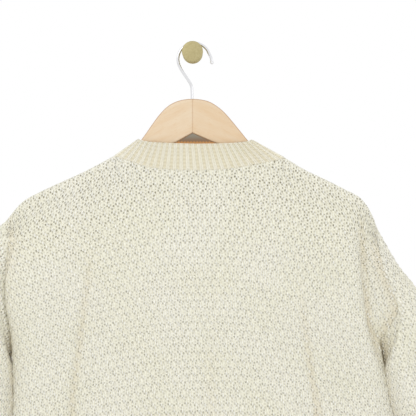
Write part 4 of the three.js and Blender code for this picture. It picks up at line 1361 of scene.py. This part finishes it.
class CARDIGAN_OT_hook(bpy.types.Operator):
    """Bends the wire hook"""

    bl_idname = "cardigan.hook"
    bl_label = "Bend hook"

    def execute(self, context):
        path = [(26.4, -15.6), (25.6, -9)]
        across, up = HOOK_CENTRE
        for degrees in range(15, 201, 23):
            angle = math.radians(degrees)
            path.append((across + HOOK_BEND * math.cos(angle), up + HOOK_BEND * math.sin(angle)))
        path += [(-12.4, -28.6), (-6, -38), (-1.6, -46), (-0.7, -54), (-0.7, -77)]
        line = along([at(x, 0, z) for x, z in path], np.linspace(0, 1, 150)) * MM
        curve = bpy.data.curves.new("wire", "CURVE")
        curve.dimensions = "3D"
        curve.bevel_depth = WIRE_RADIUS
        curve.bevel_resolution = 4
        curve.use_fill_caps = True
        strand = curve.splines.new("POLY")
        strand.points.add(len(line) - 1)
        strand.points.foreach_set("co", np.concatenate([line, np.ones((len(line), 1))], axis=1).ravel())
        bare = bpy.data.objects.new("wire", curve)
        mesh = bpy.data.meshes.new_from_object(bare)
        bm = bmesh.new()
        bm.from_mesh(mesh)
        bpy.data.objects.remove(bare)
        bpy.data.meshes.remove(mesh)
        bead = Matrix.Translation(Vector(line[0]) + Vector((0, 0, 0.0012)))
        bmesh.ops.create_uvsphere(bm, u_segments=20, v_segments=12, radius=BEAD_RADIUS, matrix=bead)
        piece = finish_mesh("hanger_hook_wire", bm)
        place_piece(piece, "chrome", "hanger_hook")
        return {"FINISHED"}


class CARDIGAN_OT_knob(bpy.types.Operator):
    """Turns the brass wall knob"""

    bl_idname = "cardigan.knob"
    bl_label = "Turn knob"

    def execute(self, context):
        profile = [
            (0, 0), (13.4, 0), (13.8, 0.6), (13.8, 3.2), (13.2, 4.0), (12.0, 4.6), (10.2, 5.6), (9.5, 7),
            (9.5, 41), (9.9, 42.6), (11, 43.6), (13.3, 44), (14.0, 44.5), (14.3, 45.2), (14.3, 48.8),
            (14.0, 49.5), (13.5, 49.9), (13.0, 50), (0, 50),
        ]
        bm = spin_profile([(r * MM, h * MM) for r, h in profile], 72)
        bmesh.ops.recalc_face_normals(bm, faces=bm.faces[:])
        bmesh.ops.transform(bm, matrix=Matrix.Rotation(math.pi / 2, 4, "X"), verts=bm.verts[:])
        piece = finish_mesh("wall_knob_turned", bm)
        place_piece(piece, "brass", "wall_knob")
        return {"FINISHED"}


# ------------------------------------------------------------------ stage
# the card that glows with the painted shade of the wall: its middle, and half its width and height
CARD_PLACE = (0, -0.0303, -0.122)
CARD_SIZE = (0.034, 0.0125, 1, 1)
SENSOR = 36


class CARDIGAN_OT_stage(bpy.types.Operator):
    """Sets the camera, the white room, its lamps, the floor and a card glowing with the wall's painted shade
    """

    bl_idname = "cardigan.stage"
    bl_label = "Set stage"

    def execute(self, context):
        _, _, stage = settings()
        scene = context.scene
        camera = bpy.data.cameras.new("camera")
        camera.sensor_width = SENSOR
        camera.lens = SENSOR * stage.distance / stage.width
        camera.clip_end = 50
        viewer = bpy.data.objects.new("camera", camera)
        viewer.location = (stage.centre_x, MID_Y * MM - stage.distance, stage.centre_z)
        viewer.rotation_euler = (math.pi / 2, 0, 0)
        scene.collection.objects.link(viewer)
        scene.camera = viewer

        world = bpy.data.worlds.new("white room")
        scene.world = world
        world.use_nodes = True
        world.node_tree.nodes["Background"].inputs["Color"].default_value = (1, 1, 1, 1)
        world.node_tree.nodes["Background"].inputs["Strength"].default_value = stage.soft

        for label, place, aim, size, power in (
            ("key lamp", (-1.6, -2.6, 1.2), (0, 0, -0.35), 1.6, stage.key),
            ("fill lamp", (2.2, -1.8, 0.1), (0.25, 0, -0.35), 1.2, stage.fill),
        ):
            lamp = bpy.data.lights.new(label, "AREA")
            lamp.size = size
            lamp.energy = power
            bulb = bpy.data.objects.new(label, lamp)
            bulb.location = place
            bulb.rotation_euler = (Vector(aim) - Vector(place)).to_track_quat("-Z", "Y").to_euler()
            scene.collection.objects.link(bulb)

        bm = bmesh.new()
        bmesh.ops.create_circle(bm, cap_ends=True, segments=96, radius=9.0)
        bmesh.ops.translate(bm, verts=bm.verts[:], vec=(0, 0, stage.floor))
        floor = finish_mesh("floor", bm, smooth=False)
        pale = Finish("pale floor")
        haze = pale.noise(pale.object_place(), 6.0, 2.0)
        floor.data.materials.append(
            pale.set(Base_Color=pale.blend(haze, (0.86, 0.86, 0.85), (0.9, 0.9, 0.89)), Roughness=0.8)
        )
        card = bmesh.new()
        bmesh.ops.create_grid(card, x_segments=1, y_segments=1, size=1)
        bmesh.ops.transform(
            card,
            matrix=Matrix.Translation(CARD_PLACE)
            @ Matrix.Rotation(math.pi / 2, 4, "X")
            @ Matrix.Diagonal(CARD_SIZE),
            verts=card.verts[:],
        )
        # a glowing card painted with the wall's shade
        wall = finish_mesh("painted_wall_shade_card", card, smooth=False)
        wall.data.materials.append(shade_finish())
        scene.view_settings.view_transform = "Standard"
        scene.view_settings.look = "None"
        return {"FINISHED"}


class CARDIGAN_PT_panel(bpy.types.Panel):
    """Sizes, colours and steps of the cardigan"""

    bl_idname = "CARDIGAN_PT_panel"
    bl_label = "Hanging Cardigan"
    bl_space_type = "VIEW_3D"
    bl_region_type = "UI"
    bl_category = "Cardigan"

    def draw(self, context):
        for group in settings():
            box = self.layout.box()
            for name in group.__annotations__:
                box.prop(group, name)
        for operator in OPERATORS:
            self.layout.operator(operator.bl_idname)


GROUPS = (
    ("cardigan_knit", CardiganKnitSettings),
    ("cardigan_tints", CardiganTintSettings),
    ("cardigan_stage", CardiganStageSettings),
)
OPERATORS = (
    CARDIGAN_OT_stage,
    CARDIGAN_OT_body,
    CARDIGAN_OT_sleeves,
    CARDIGAN_OT_neckband,
    CARDIGAN_OT_welts,
    CARDIGAN_OT_cuffs,
    CARDIGAN_OT_bands,
    CARDIGAN_OT_buttons,
    CARDIGAN_OT_hanger,
    CARDIGAN_OT_hook,
    CARDIGAN_OT_knob,
)


def register():
    for name, group in GROUPS:
        bpy.utils.register_class(group)
        setattr(bpy.types.Scene, name, PointerProperty(type=group))
    for operator in OPERATORS:
        bpy.utils.register_class(operator)
    bpy.utils.register_class(CARDIGAN_PT_panel)


def unregister():
    bpy.utils.unregister_class(CARDIGAN_PT_panel)
    for operator in reversed(OPERATORS):
        bpy.utils.unregister_class(operator)
    for name, group in reversed(GROUPS):
        delattr(bpy.types.Scene, name)
        bpy.utils.unregister_class(group)


def main():
    register()
    for operator in OPERATORS:
        step = operator.bl_idname.split(".")[1]
        getattr(bpy.ops.cardigan, step)()


if __name__ == "__main__":
    main()
